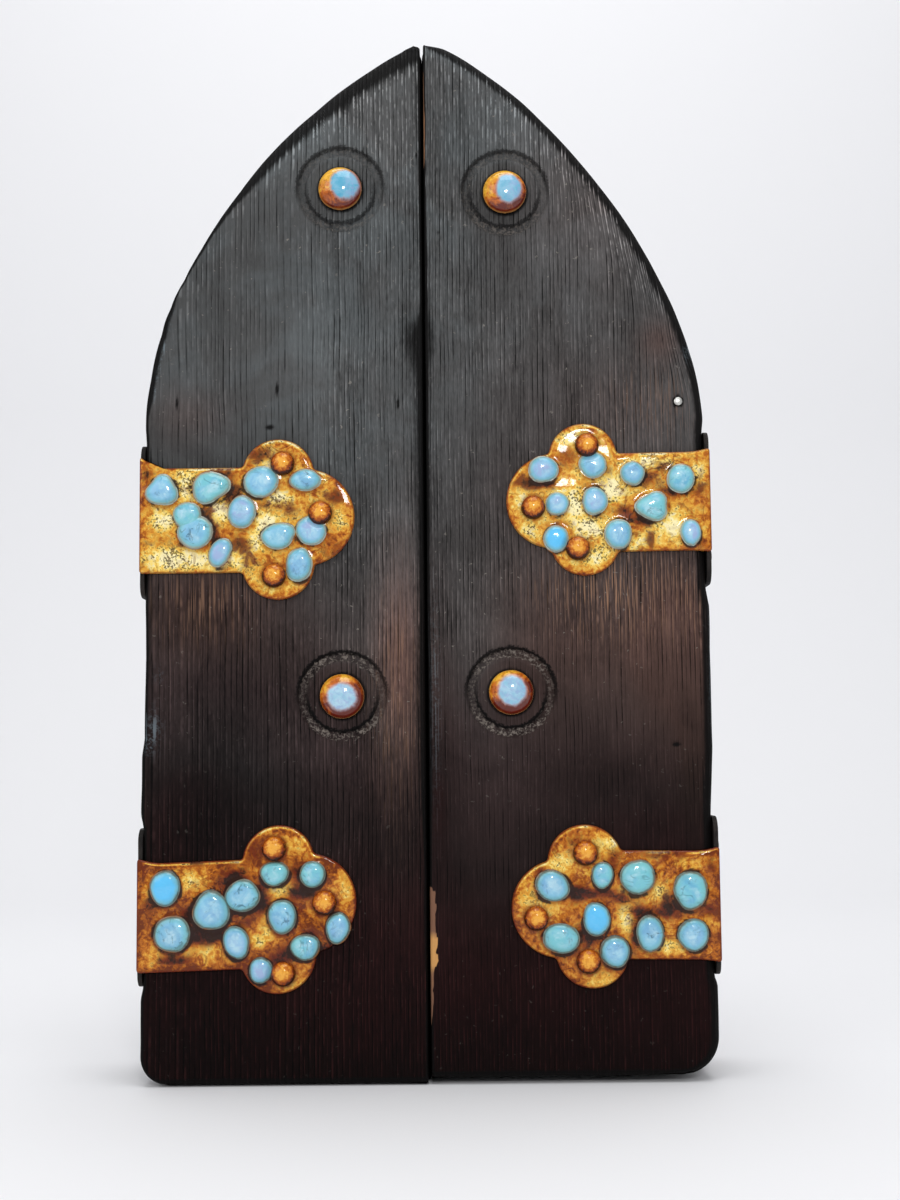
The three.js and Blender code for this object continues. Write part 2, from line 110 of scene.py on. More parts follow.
def skin(rings, closed=False, **marks):
    # rings is rows by columns of points, each row a closed loop. Neighbours join, and either the last row
    # joins the first or a fan closes each end.
    rows, cols = rings.shape[:2]
    points = rings.reshape(-1, 3)
    if not closed:
        points = np.concatenate([points, rings[[0, -1]].mean(axis=1)])
    i = np.arange(rows if closed else rows - 1)[:, None]
    j = np.arange(cols)[None, :]
    k, n = (j + 1) % cols, (i + 1) % rows
    quads = np.stack([i * cols + j, i * cols + k, n * cols + k, n * cols + j], axis=-1).reshape(-1, 4)
    end = (rows - 1) * cols
    fans = np.concatenate([
        np.stack([np.full(cols, rows * cols), k[0], j[0]], axis=-1),
        np.stack([np.full(cols, rows * cols + 1), end + j[0], end + k[0]], axis=-1)])
    values = {}
    for name, mark in marks.items():
        mark = np.broadcast_to(mark, (rows, cols))
        values[name] = mark.ravel()
        if not closed:
            values[name] = np.concatenate([values[name], mark[[0, -1]].mean(axis=1)])
    return {"points": points, "quads": quads, "fans": fans[:0] if closed else fans, "marks": values}


def facesOut(part):
    # six times the volume is the sum of the corner products: a negative one means inside out
    p, q, f = part["points"], part["quads"], part["fans"]
    corners = np.concatenate([q[:, [0, 1, 2]], q[:, [0, 2, 3]], f])
    a, b, c = p[corners[:, 0]], p[corners[:, 1]], p[corners[:, 2]]
    if np.einsum("ij,ij->i", a, np.cross(b, c)).sum() < 0:
        part["quads"], part["fans"] = q[:, ::-1], f[:, ::-1]
    return part


def addObject(name, data):
    # a new object in the scene
    thing = bpy.data.objects.new(name, data)
    bpy.context.scene.collection.objects.link(thing)
    return thing


def makePiece(name, parts, material, body, replaced=(), sharpAngle=40):
    # several skins in one object, placed by their points
    parts = [facesOut(part) for part in parts]
    starts = np.cumsum([0] + [len(part["points"]) for part in parts])
    points = np.concatenate([part["points"] for part in parts]) * mm
    quads = np.concatenate([part["quads"] + at for part, at in zip(parts, starts)])
    fans = np.concatenate([part["fans"] + at for part, at in zip(parts, starts)])
    mesh = bpy.data.meshes.new(name)
    mesh.vertices.add(len(points))
    mesh.vertices.foreach_set("co", points.astype(np.float32).ravel())
    loops = np.concatenate([quads.ravel(), fans.ravel()]).astype(np.int32)
    mesh.loops.add(len(loops))
    mesh.loops.foreach_set("vertex_index", loops)
    sizes = np.concatenate([np.full(len(quads), 4), np.full(len(fans), 3)])
    mesh.polygons.add(len(sizes))
    mesh.polygons.foreach_set("loop_start", np.concatenate([[0], np.cumsum(sizes)[:-1]]).astype(np.int32))
    mesh.update(calc_edges=True)
    mesh.polygons.foreach_set("use_smooth", np.ones(len(sizes), bool))
    mesh.set_sharp_from_angle(angle=radians(sharpAngle))
    for mark in parts[0]["marks"]:
        values = np.concatenate([part["marks"][mark] for part in parts])
        mesh.attributes.new(mark, "FLOAT", "POINT").data.foreach_set("value", values.astype(np.float32))
    mesh.materials.append(material)
    piece = addObject(name, mesh)
    if replaced:
        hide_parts(*replaced)
    if body:
        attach(piece, body)
    return piece


def fullTurn(count):
    # even angles once round, without the one that repeats the first
    return np.linspace(0, 2 * pi, count, endpoint=False)


def circle(turn, halfWidth=1.0, halfHeight=1.0):
    # cosine across and sine up, drawn out to an oval
    return np.stack([halfWidth * np.cos(turn), halfHeight * np.sin(turn)], axis=1)


def even(outline, count):
    # a closed outline walked in equal steps
    loop = np.concatenate([outline, outline[:1]])
    run = np.concatenate([[0], np.cumsum(np.hypot(*np.diff(loop, axis=0).T))])
    at = np.linspace(0, run[-1], count, endpoint=False)
    return np.stack([np.interp(at, run, loop[:, k]) for k in (0, 1)], axis=1)


def eased(outline, reach):
    # each point becomes the mean of its neighbours, which rounds the corners
    return sum(np.roll(outline, shift, axis=0) for shift in range(-reach, reach + 1)) / (2 * reach + 1)


def inset(outline, distance):
    # points moved to the left of the walking direction, which is inwards on an anticlockwise outline
    ahead = np.roll(outline, -1, axis=0) - np.roll(outline, 1, axis=0)
    ahead = ahead / np.hypot(*ahead.T)[:, None]
    return outline + distance * np.stack([-ahead[:, 1], ahead[:, 0]], axis=1)


def atAngles(outline, centre, angles):
    # where rays from the centre leave an outline that they cross once
    rel = even(outline, 2400) - centre
    turn = np.arctan2(rel[:, 1], rel[:, 0])
    order = np.argsort(turn)
    radius = np.interp(angles, turn[order], np.hypot(*rel.T)[order], period=2 * pi)
    return centre + radius[:, None] * circle(angles)


def drawnIn(outline, centre, shares):
    # the outline once for each share of its size
    return centre + (outline - centre) * np.array(shares)[:, None, None]


def ringAt(flat, y):
    # places of x and z at a depth
    return np.stack([flat[..., 0], np.broadcast_to(y, flat.shape[:-1]), flat[..., 1]], axis=-1)


# The boards' arch: a cubic curve from the spring to the tip
arch = {"half": 100.0, "spring": 230.0, "tip": 374.0, "shoulder": 48.8, "lean": 55.3, "dip": 22.6}


def archCurve(half, tip, steps=160):
    # the control points stand straight above the spring and down the tip's slope, all drawn to the half width
    share = half / arch["half"]
    spring = tip - (arch["tip"] - arch["spring"]) * share
    t = np.linspace(0, 1, steps)
    a, b, c, d = (1 - t) ** 3, 3 * t * (1 - t) ** 2, 3 * t * t * (1 - t), t ** 3
    x = half * (a + b) + arch["lean"] * share * c
    z = spring * a + (spring + arch["shoulder"] * share) * b + (tip - arch["dip"] * share) * c + tip * d
    return x, z


def archOutline(half, foot, tip, corner, middle=0.0):
    # anticlockwise from the right foot corner: round corner, side, arch, and the same mirrored
    x, z = archCurve(half, tip)
    turn = np.linspace(-pi / 2, 0, 14)
    x = np.concatenate([half - corner + corner * np.cos(turn), x])
    z = np.concatenate([foot + corner + corner * np.sin(turn), z])
    right, left = np.stack([x, z], axis=1), np.stack([-x[-2::-1], z[-2::-1]], axis=1)
    return np.concatenate([right, left]) + [middle, 0]


# Shader values

class Field:
    # a node's output, which adds, subtracts and multiplies like a number
    def __init__(self, tree, socket):
        self.tree, self.socket = tree, socket

    def maths(self, operation, first, second=0.0):
        return made(self.tree, "ShaderNodeMath", {0: first, 1: second}, operation=operation)

    def __add__(self, other):
        return self.maths("ADD", self, other)

    def __sub__(self, other):
        return self.maths("SUBTRACT", self, other)

    def __rsub__(self, other):
        return self.maths("SUBTRACT", other, self)

    def __mul__(self, other):
        return self.maths("MULTIPLY", self, other)

    def __abs__(self):
        return self.maths("ABSOLUTE", self)

    __radd__, __rmul__ = __add__, __mul__


def put(tree, kind, inputs=None, **settings):
    # a new node with its settings, and each input linked or set
    node = tree.nodes.new(kind)
    for key, value in settings.items():
        setattr(node, key, value)
    for key, value in (inputs or {}).items():
        if isinstance(value, Field):
            tree.links.new(value.socket, node.inputs[key])
        else:
            node.inputs[key].default_value = value
    return node


def made(tree, kind, inputs=None, output=0, **settings):
    # one output of a new node, to work on with
    return Field(tree, put(tree, kind, inputs, **settings).outputs[output])


def most(a, b):
    return a.maths("MAXIMUM", a, b)


def step(value, low, high, start=0.0, end=1.0):
    # eased from start at the low value to end at the high one
    inputs = {"Value": value, "From Min": low, "From Max": high, "To Min": start, "To Max": end}
    return made(value.tree, "ShaderNodeMapRange", inputs, interpolation_type="SMOOTHSTEP")


def nearTo(value, middle, inner, outer):
    # 1 at a value and 0 away from it
    return step(abs(value - middle), outer, inner)


def blend(factor, a, b):
    return made(factor.tree, "ShaderNodeMix", {0: factor, 6: a, 7: b}, output=2, data_type="RGBA")


def scaled(tint, value):
    return made(value.tree, "ShaderNodeVectorMath", {0: tint, "Scale": value}, operation="SCALE")


def ramp(factor, stops):
    # colours at places from 0 to 1
    node = put(factor.tree, "ShaderNodeValToRGB", {"Fac": factor})
    elements = node.color_ramp.elements
    while len(elements) < len(stops):
        elements.new(0.5)
    for element, (place, tint) in zip(elements, stops):
        element.position, element.color = place, tint
    return Field(factor.tree, node.outputs[0])


def bump(height, strength, distance):
    return made(height.tree, "ShaderNodeBump", {"Height": height, "Strength": strength, "Distance": distance})


def attributes(tree, names):
    # the piece's own marks, by name
    return [made(tree, "ShaderNodeAttribute", output="Fac", attribute_name=name) for name in names.split()]


def objectPlace(tree, scale=(1, 1, 1)):
    place = made(tree, "ShaderNodeTexCoord", output="Object")
    return made(tree, "ShaderNodeMapping", {"Vector": place, "Scale": scale})


def noise(place, scale, detail=3.0, roughness=0.55, distortion=0.0):
    return made(place.tree, "ShaderNodeTexNoise", {
        "Vector": place, "Scale": scale, "Detail": detail, "Roughness": roughness, "Distortion": distortion})


def newGroup(name, inputs, outputs):
    # inputs are labels with their usual values, outputs are labels
    tree = bpy.data.node_groups.new(name, "ShaderNodeTree")
    for label, value in inputs.items():
        tree.interface.new_socket(label, in_out="INPUT", socket_type="NodeSocketFloat").default_value = value
    for label in outputs:
        tree.interface.new_socket(label, in_out="OUTPUT", socket_type="NodeSocketFloat")
    given = tree.nodes.new("NodeGroupInput").outputs
    return tree, [Field(tree, given[label]) for label in inputs]


def useGroup(tree, group, **inputs):
    return [Field(tree, socket) for socket in put(tree, "ShaderNodeGroup", inputs, node_tree=group).outputs]


def cloudGroup():
    # soft clouds with finer clouds in them, pulled apart to a contrast: 0 to 1
    tree, (size, low, high) = newGroup("clouds", {"Size": 100.0, "Low": 0.35, "High": 0.65}, ["Mask"])
    value = noise(objectPlace(tree), size, 4.0, 0.6, 0.6)
    put(tree, "NodeGroupOutput", {"Mask": step(value, low, high)})
    return tree


def fleckGroup():
    # small flecks where fine noise falls below a level
    tree, (size, level) = newGroup("flecks", {"Size": 1200.0, "Level": 0.4}, ["Mask"])
    value = noise(objectPlace(tree), size, 2.0, 0.5, 0.4)
    put(tree, "NodeGroupOutput", {"Mask": step(value, level + 0.07, level)})
    return tree


def fibreGroup():
    # noise drawn out along the height: long and short lines, broad bands, and a few thin bright scratches
    tree, (share,) = newGroup("fibres", {"Fine": 0.5}, ["Lines", "Bands", "Scratches"])
    fine = noise(objectPlace(tree, (1400, 1000, 45)), 1.0, 3.0, 0.6, 0.3)
    short = noise(objectPlace(tree, (1500, 1000, 360)), 1.0, 2.0, 0.6, 0.2)
    bands = noise(objectPlace(tree, (120, 120, 8)), 1.0, 3.0, 0.55, 0.5)
    thin = noise(objectPlace(tree, (2400, 300, 55)), 1.0, 1.0, 0.4, 0.1)
    lines = bands + ((fine + short) * 0.5 - bands) * share
    put(tree, "NodeGroupOutput", {"Lines": lines, "Bands": bands, "Scratches": step(thin, 0.57, 0.66)})
    return tree


def ringGroup():
    # growth rings from a running count: thin dark lines, pale lines beside them, and short pale dashes
    tree, (count,) = newGroup("rings", {"Count": 0.0}, ["Dark", "Pale", "Dashes"])
    place, cell = count.maths("FRACT", count), count.maths("FLOOR", count)
    height = made(tree, "ShaderNodeSeparateXYZ", {0: objectPlace(tree)}, output=2)

    def line(middle, inner, outer, across, up, low, high):
        # a line at one place in each ring, whose strength changes from ring to ring and along the height
        spot = made(tree, "ShaderNodeCombineXYZ", {0: cell * across, 2: height * up})
        return nearTo(place, middle, inner, outer) * step(noise(spot, 1.0, 2.0, 0.6), low, high)

    put(tree, "NodeGroupOutput", {
        "Dark": line(0.5, 0.03, 0.16, 7.31, 30.0, 0.36, 0.64),
        "Pale": line(0.72, 0.04, 0.22, 5.17, 100.0, 0.42, 0.64),
        "Dashes": line(0.84, 0.08, 0.27, 9.73, 175.0, 0.48, 0.62)})
    return tree


clouds, flecks, fibres, rings = cloudGroup(), fleckGroup(), fibreGroup(), ringGroup()


def cloudy(tree, size, low, high):
    return useGroup(tree, clouds, Size=size, Low=low, High=high)[0]


def newMaterial(name, **constants):
    # the shader's own sockets hold what is the same all over
    material = bpy.data.materials.new(name)
    material.use_nodes = True
    tree = material.node_tree
    tree.nodes.clear()
    shader = put(tree, "ShaderNodeBsdfPrincipled", constants)
    put(tree, "ShaderNodeOutputMaterial", {0: Field(tree, shader.outputs[0])})
    return material, tree, shader


def paint(shader, **fields):
    # what changes over the surface: tone, rough and normal
    for key, label in (("tone", "Base Color"), ("rough", "Roughness"), ("normal", "Normal")):
        if key in fields:
            fields[key].tree.links.new(fields[key].socket, shader.inputs[label])


# Scorched pine: the tone mark holds how light the wood is, the other marks what lies on it
pineTones = {
    "ember": (2.6, 0.6, 0.6, 1.0), "scorched": (1.5, 0.87, 0.84, 1.0), "greyed": (0.99, 1.0, 1.0, 1.0),
    "cool": (0.88, 1.02, 1.07, 1.0), "warm": (1.56, 0.88, 0.73), "sootAndShade": colour(9, 8, 8),
    "scratch": colour(152, 116, 92), "bare": colour(200, 148, 90), "bareLow": colour(122, 88, 70),
    "paintedGlint": colour(122, 136, 144), "groove": colour(136, 127, 119), "dust": colour(150, 144, 136),
}
grooveLook = {"inner": 12.3, "outer": 15.9, "depth": 1.5, "wall": 0.8, "soft": 0.7}


def scorchedPine():
    material, tree, shader = newMaterial("scorchedPine", **{"IOR": 1.45, "Specular IOR Level": 0.1})
    t = pineTones
    innerWall, outerWall, soft = (grooveLook[key] for key in ("inner", "outer", "soft"))
    lines, bands, scratches = useGroup(tree, fibres, Fine=0.75)
    light, count, hatch, edge, warm, bare, low = attributes(tree, "tone count hatch edge warm bare low")
    streak, chip, away, above, calm = attributes(tree, "streak chip away above calm")
    grit, blotch = cloudy(tree, 900.0, 0.3, 0.7), cloudy(tree, 34.0, 0.36, 0.66)
    crowd, thinned = cloudy(tree, 46.0, 0.4, 0.6), cloudy(tree, 58.0, 0.38, 0.62)
    dark, pale, dashes = useGroup(tree, rings, Count=count)
    far = away + (grit - 0.5) * 0.9
    floor = step(far, innerWall, innerWall + soft) * step(far, outerWall, outerWall - soft)
    # the grain: dark furrows, pale ridges and dashes over fine fibres, crowded in some places, with the
    # ridges and dashes lit up as painted highlight beside the arch's edges
    ridge = pale * (0.14 + crowd * 0.66 + hatch)
    furrow = dark * (0.46 + thinned * 0.5 - calm * 0.3)
    dash = dashes * (0.05 + crowd * 0.4 + hatch * 1.9)
    lively = step(calm, 0.0, 1.0, 1.0, 0.4)
    relief = ((ridge + dash) * lively - furrow) * (1 - floor * 0.8)
    fibre = (lines - 0.5) * 2.1 * lively + (bands - 0.5) * 0.3
    bright = 0.86 + relief + fibre + (blotch - 0.5) * 0.26 - floor * 0.2
    bright = light * most(bright, 0.12) + pale * 0.004
    # redder where it is darkest, greyer and cool in places where it is light, which is partly painted sheen,
    # and warm or ashen by the warm mark
    hue = blend(step(light, 0.003, 0.012), t["ember"], t["scorched"])
    hue = blend(step(light, 0.008, 0.06), hue, t["greyed"])
    hue = blend(blotch * step(light, 0.04, 0.09) * 0.55, hue, t["cool"])
    hue = blend(warm * -1.0, hue, t["greyed"])
    tone = blend(warm, scaled(hue, bright), scaled(t["warm"], bright))
    tone = blend(streak * most(scratches, pale * 0.75), tone, t["scratch"])
    dust = useGroup(tree, flecks, Size=620.0, Level=0.25)[0] * crowd * step(light, 0.0, 0.06, 0.1, 0.5)
    tone = blend(dust, tone, t["dust"])
    # turned groove: a scratched floor, with painted shade under the walls that face down
    deep = step(light, 0.1, 0.03, 0.66, 0.95)
    steep = step(abs(above), 0.2, 0.8, 0.35, 1.0)
    scored = floor * cloudy(tree, 1000.0, 0.44, 0.66) * steep * step(light, 0.11, 0.03, 0.15, 0.8)
    tone = blend(scored, tone, t["groove"])
    upperWallShade = nearTo(far, outerWall, 0.3, 1.0) * step(above, -0.5, 0.4) * deep
    lowerWallShade = nearTo(far, innerWall, 0.3, 1.0) * step(above, 0.5, -0.4) * deep
    # soot and painted shade lie on the rounded edges and walls, round the studs' feet and along the seam,
    # with a border that the grain breaks up
    sootAndShade = step(edge - (relief + fibre) * 0.16, 0.03, 0.42)
    tone = blend(most(sootAndShade * 0.94, most(upperWallShade, lowerWallShade)), tone, t["sootAndShade"])
    # painted highlight: bluish glints on glossy char, and the gleam along the edge
    tone = blend(chip * step(grit * 0.5 + pale, 0.2, 0.7), tone, t["paintedGlint"])
    ragged = (lines - 0.5) * 1.2
    rawTone = blend(low + ragged, t["bare"], t["bareLow"])
    tone = blend(step(bare + ragged, 0.35, 0.65), tone, rawTone)
    height = relief + fibre * 0.5 + grit * 0.2
    paint(shader, tone=tone, rough=step(relief, -0.3, 0.6, 0.8, 0.55), normal=bump(height, 0.55, 0.0004))
    return material


enamelTones = {
    "brown": colour(108, 46, 8), "burnt": colour(186, 104, 24), "gold": colour(230, 170, 62),
    "pale": colour(248, 218, 114), "cream": colour(254, 240, 184), "smokeAndShade": colour(106, 31, 4),
    "dark": colour(12, 6, 4), "fleck": colour(66, 52, 14),
}


def amberEnamel():
    material, tree, shader = newMaterial("amberEnamel", **{
        "IOR": 1.5, "Specular IOR Level": 0.05, "Coat Weight": 0.42, "Coat Roughness": 0.05})
    t = enamelTones
    rim, beads, heads, age, smudge, pale = attributes(tree, "rim beads heads age smudge pale")
    wash, small = cloudy(tree, 90.0, 0.3, 0.7), cloudy(tree, 230.0, 0.34, 0.66)
    fine, patch = cloudy(tree, 620.0, 0.3, 0.7), cloudy(tree, 105.0, 0.42, 0.6)
    mottled, grain = small - 0.5, fine - 0.5
    # a wash of melted glass from burnt brown to cream, darker where it is old and along the rim
    heat = 0.27 + wash * 0.32 + pale * 0.6 - age * 0.32 - rim * 0.16 + mottled * 0.26 + grain * 0.32
    tone = ramp(heat, [
        (0.02, t["brown"]), (0.26, t["burnt"]), (0.5, t["gold"]), (0.72, t["pale"]), (0.95, t["cream"])])
    # dark hairs of foil in the paler glass
    level = 0.315 + cloudy(tree, 130.0, 0.4, 0.65) * 0.15
    fleck = useGroup(tree, flecks, Size=1350.0, Level=level)[0] * step(heat, 0.42, 0.72)
    tone = blend(fleck * 0.85, tone, t["fleck"])
    # smoke in veins; smoke and painted shadow round the drops and nails, black where it is thickest; and a
    # thin dark border that is painted shade along the rim
    halo = most(beads, heads) * (0.3 + small * 0.4 + age * 0.4)
    border = step(rim, 0.9, 0.99) * (0.7 + age * 0.25)
    vein = nearTo(noise(objectPlace(tree), 75.0, 3.0, 0.6, 1.4), 0.5, 0.0, 0.04)
    vein = vein * cloudy(tree, 110.0, 0.42, 0.6) * (0.8 - pale * 0.35)
    smoky = most(step(smudge + mottled * 0.5 + grain * 0.2, 0.1, 0.7), vein)
    tone = blend(most(smoky, most(halo, border)) * 0.9, tone, t["smokeAndShade"])
    heart = smudge * (0.66 + age * 0.34 + mottled * 0.4)
    sootAndShadow = beads * (0.2 + patch * 0.68 + age * 0.52)
    sootAndShadow = step(heart + sootAndShadow + vein * 0.4 + grain * 0.3, 0.4, 0.88)
    tone = blend(sootAndShadow * 0.9, tone, t["dark"])
    waves = bump(small + fine * 0.4, 0.22, 0.0006)
    paint(shader, tone=tone, rough=step(fine, 0.0, 1.0, 0.4, 0.2), normal=waves)
    return material


glassTones = {
    "blue": colour(116, 191, 230), "deep": colour(84, 160, 200), "lilac": colour(158, 180, 218),
    "teal": colour(116, 199, 205), "vivid": colour(92, 196, 248), "milk": colour(190, 224, 236),
    "vein": colour(24, 62, 76), "margin": colour(128, 184, 180), "thin": colour(104, 110, 94),
    "thinPale": colour(172, 180, 164), "foot": colour(34, 21, 13), "amber": colour(150, 92, 40),
}


def turquoiseGlass():
    material, tree, shader = newMaterial("turquoiseGlass", **{
        "Roughness": 0.2, "IOR": 1.5, "Specular IOR Level": 0.1, "Coat Weight": 0.85, "Coat Roughness": 0.06})
    t = glassTones
    rho, lilac, teal, veins, vivid, age = attributes(tree, "rho lilac teal veins vivid age")
    cloud, other = cloudy(tree, 170.0, 0.4, 0.6), cloudy(tree, 110.0, 0.42, 0.62)
    fine, patch = cloudy(tree, 480.0, 0.3, 0.7), cloudy(tree, 105.0, 0.42, 0.6)
    tone = blend(other * 0.75, t["blue"], t["deep"])
    tone = blend(teal * (1 - other * 0.7), tone, t["teal"])
    tone = blend(lilac * step(rho, 1.0, 0.4) * (0.25 + cloud * 0.75), tone, t["lilac"])
    tone = blend(step(rho, 0.95, 0.3) * (1 - cloud) * (0.3 + fine * 0.5), tone, t["milk"])
    tone = blend(vivid * 0.9, tone, t["vivid"])
    vein = nearTo(noise(objectPlace(tree), 130.0, 2.0, 0.6, 1.8), 0.5, 0.0, 0.06)
    tone = blend(vein * veins * cloudy(tree, 220.0, 0.48, 0.62) * 0.7, tone, t["vein"])
    # the glass thins at its border, paler on the newer straps, and lets the amber through, with a dark foot
    # that is painted shadow and dark enamel
    ragged = rho + (cloud - 0.5) * 0.08
    tone = blend(step(ragged, 0.6, 0.96) * 0.65, tone, t["margin"])
    thin = blend(step(age, 0.0, 0.6), t["thinPale"], t["thin"])
    tone = blend(step(ragged, 0.87, 1.02) * 0.9, tone, thin)
    tone = blend(step(ragged, 1.01, 1.13), tone, blend(patch, t["amber"], t["foot"]))
    paint(shader, tone=tone, normal=bump(cloud, 0.12, 0.0006))
    return material


copperTones = {
    "spark": colour(240, 172, 66), "gold": colour(202, 114, 24), "copper": colour(146, 62, 10),
    "rim": colour(56, 18, 5),
}


def copperDome():
    material, tree, shader = newMaterial("copperDome", **{
        "IOR": 1.5, "Specular IOR Level": 0.08, "Coat Weight": 0.5, "Coat Roughness": 0.08})
    t = copperTones
    rho, under, age = attributes(tree, "rho under age")
    spark = cloudy(tree, 800.0, 0.38, 0.64)
    # gold in the middle to red-brown at the rim; the darkening towards the rim and on the lower side is
    # painted shade
    shade = 1.06 - rho * rho * 1.06 - under * rho * 0.4 + (spark - 0.5) * 0.36 + age * 0.08
    tone = ramp(shade, [(0.14, t["rim"]), (0.4, t["copper"]), (0.72, t["gold"]), (1.0, t["spark"])])
    paint(shader, tone=tone, rough=step(spark, 0.0, 1.0, 0.5, 0.25), normal=bump(spark, 0.3, 0.0003))
    return material


studTones = {
    "gold": colour(240, 180, 54), "amber": colour(198, 102, 22), "rust": colour(100, 26, 9),
    "speck": colour(84, 34, 12), "opal": colour(84, 168, 200), "milk": colour(176, 212, 230),
    "lilac": colour(150, 166, 210), "line": colour(232, 176, 96),
}


def studEnamel():
    material, tree, shader = newMaterial("studEnamel", **{
        "Roughness": 0.16, "IOR": 1.5, "Specular IOR Level": 0.15, "Coat Weight": 0.9,
        "Coat Roughness": 0.03})
    t = studTones
    spot, under, across, rho, milky = attributes(tree, "spot under across rho milky")
    cloud, fine = cloudy(tree, 260.0, 0.36, 0.64), cloudy(tree, 760.0, 0.4, 0.66)
    # gold to dark red: darker on the lower side as painted shade, and across each stud by its warmth
    fall = 0.2 + under * 0.5 + across * 0.3 + cloud * 0.42
    tone = ramp(fall, [(0.08, t["gold"]), (0.45, t["amber"]), (0.85, t["rust"])])
    tone = blend(step(fine, 0.55, 0.95) * 0.4, tone, t["speck"])
    tone = blend(step(rho, 0.95, 1.0) * 0.4, tone, t["line"])
    opal = blend(milky * 0.65 + cloud * 0.35, t["opal"], t["milk"])
    opal = blend(step(across, 0.0, 0.6) * fine * 0.6, opal, t["lilac"])
    wavy = spot + (cloud - 0.5) * 0.1
    opal = blend(step(wavy, 0.8, 1.0) * 0.4, opal, t["amber"])
    paint(shader, tone=blend(step(wavy, 1.14, 0.84), tone, opal))
    return material


leatherTones = {"black": colour(18, 15, 14), "worn": colour(52, 43, 38)}


def blackLeather():
    material, tree, shader = newMaterial("blackLeather", **{"IOR": 1.45, "Specular IOR Level": 0.3})
    pores, wear = cloudy(tree, 1400.0, 0.3, 0.7), cloudy(tree, 120.0, 0.4, 0.75)
    tone = blend(wear * 0.6, leatherTones["black"], leatherTones["worn"])
    paint(shader, tone=tone, rough=step(wear, 0.0, 1.0, 0.75, 0.5), normal=bump(pores, 0.4, 0.0003))
    return material


metalTones = {
    "blackenedIron": (colour(38, 34, 32), colour(86, 80, 76), 0.7, 0.45),
    "greySteel": (colour(188, 188, 184), colour(228, 227, 220), 0.5, 0.3),
}


def wornMetal(name):
    material, tree, shader = newMaterial(name, Metallic=1.0)
    dark, bright, rough, polished = metalTones[name]
    wear = cloudy(tree, 700.0, 0.35, 0.7)
    tone, shine = blend(wear, dark, bright), step(wear, 0.0, 1.0, rough, polished)
    paint(shader, tone=tone, rough=shine, normal=bump(wear, 0.2, 0.0002))
    return material


pine, amber, turquoise, copper = scorchedPine(), amberEnamel(), turquoiseGlass(), copperDome()
studGlaze, leather = studEnamel(), blackLeather()
iron, steel = wornMetal("blackenedIron"), wornMetal("greySteel")
print("materials ready:", len(bpy.data.materials))

# Doors. Edges are width and depth of the rounding; trim is how far the side stands out at a height.
doorLook = {
    "left": {
        "side": -1, "footCorner": 10.0, "spacing": 1.25, "spread": 0.9, "seed": 11, "tipRound": 3.0,
        "tip": 374.2, "shadeReach": 3.2, "calm": 1.0, "calmFoot": 0.0,
        "edgeWidth": [
            (0, 1.6), (236, 1.6), (242, 3.0), (262, 3.0), (274, 2.6), (280, 1.4), (303, 2.0), (314, 3.6),
            (326, 6.7), (350, 10.0), (372, 11.5)],
        "edgeDrop": [(0, 1.4), (303, 1.6), (326, 3.5), (350, 5.5), (366, 5.0), (374, 3.4)],
        "seamEdge": (2.4, 1.4), "charred": (70, 110, 266, 278),
        "gleam": [(240, 0.0), (246, 0.5), (262, 0.6), (265, 0.0), (268, 0.3), (274, 0.4), (276, 0.0)],
        "trim": [
            (0, 1.0), (30, 1.0), (34, 0.15), (89, 0.15), (94, 1.2), (115, 1.1), (121, 0.3), (150, -0.2),
            (168, 0.1), (226, 0.1), (232, 0.6), (250, 1.0), (262, 1.6), (271, 2.2), (279, 2.3), (284, 2.1),
            (298, 1.6), (310, 1.85), (320, 1.7), (330, 2.35), (338, 2.5), (345, 2.45), (351, 2.2),
            (357, 2.45), (362, 2.4), (367, 2.0), (370, 1.7), (372.4, 1.4), (373.3, 2.45), (374.2, 4.1)],
    },
    "right": {
        "side": 1, "footCorner": 13.0, "spacing": 1.35, "spread": 0.1, "seed": 23, "tipRound": 0.5,
        "tip": 374.7, "shadeReach": 1.4, "calm": 0.2, "calmFoot": 0.9,
        "edgeWidth": [(0, 4.4), (240, 4.4), (290, 5.4)], "edgeDrop": [(0, 4.0)], "seamEdge": (1.4, 1.2),
        "charred": (70, 110, 275, 315), "gleam": [(0, 0.0)],
        "trim": [
            (0, 1.2), (33, 1.2), (36, 0.15), (92, 0.15), (98, 0.5), (116, 1.3), (150, 1.3), (166, 1.4),
            (173, 0.15), (229, 0.15), (234, 0.8), (275, 0.6), (284, 0.5), (298, 0.35), (310, 0.5), (320, 0.4),
            (329, 0.6), (338, 0.9), (346, 1.4), (353, 2.5), (359, 3.1), (365, 3.5), (370, 4.1), (373, 4.4),
            (380, 4.5)],
    },
}
# front and back: columns, and the share by which they crowd at the edges
doorMake = {
    "rows": 330, "front": (190, 0.26), "wall": 9, "back": (34, 0.4), "seam": (0.43, 0.03),
    "lip": (0.42, 0.62), "blunt": 1.6, "footEdge": (3.0, 2.4), "backEdge": (2.0, 1.6),
    "plainSpacing": 2.1, "farAway": 40.0, "unevenness": (0.4, 34), "burntSpot": (263, 8),
    "leanUp": (238, 264, 292, 352), "calmAcross": (25, 55), "calmUp": (150, 200, 310, 345),
    "calmFootUp": (166, 138)}
# how light the wood is by height, as a screen value: near black at the charred foot and lighter towards the
# top, where part of the lightness is painted sheen
toneByHeight = [
    (0, 13), (16, 17), (30, 20), (90, 29), (105, 33), (130, 45), (160, 58), (228, 74), (260, 82), (300, 86),
    (375, 90)]
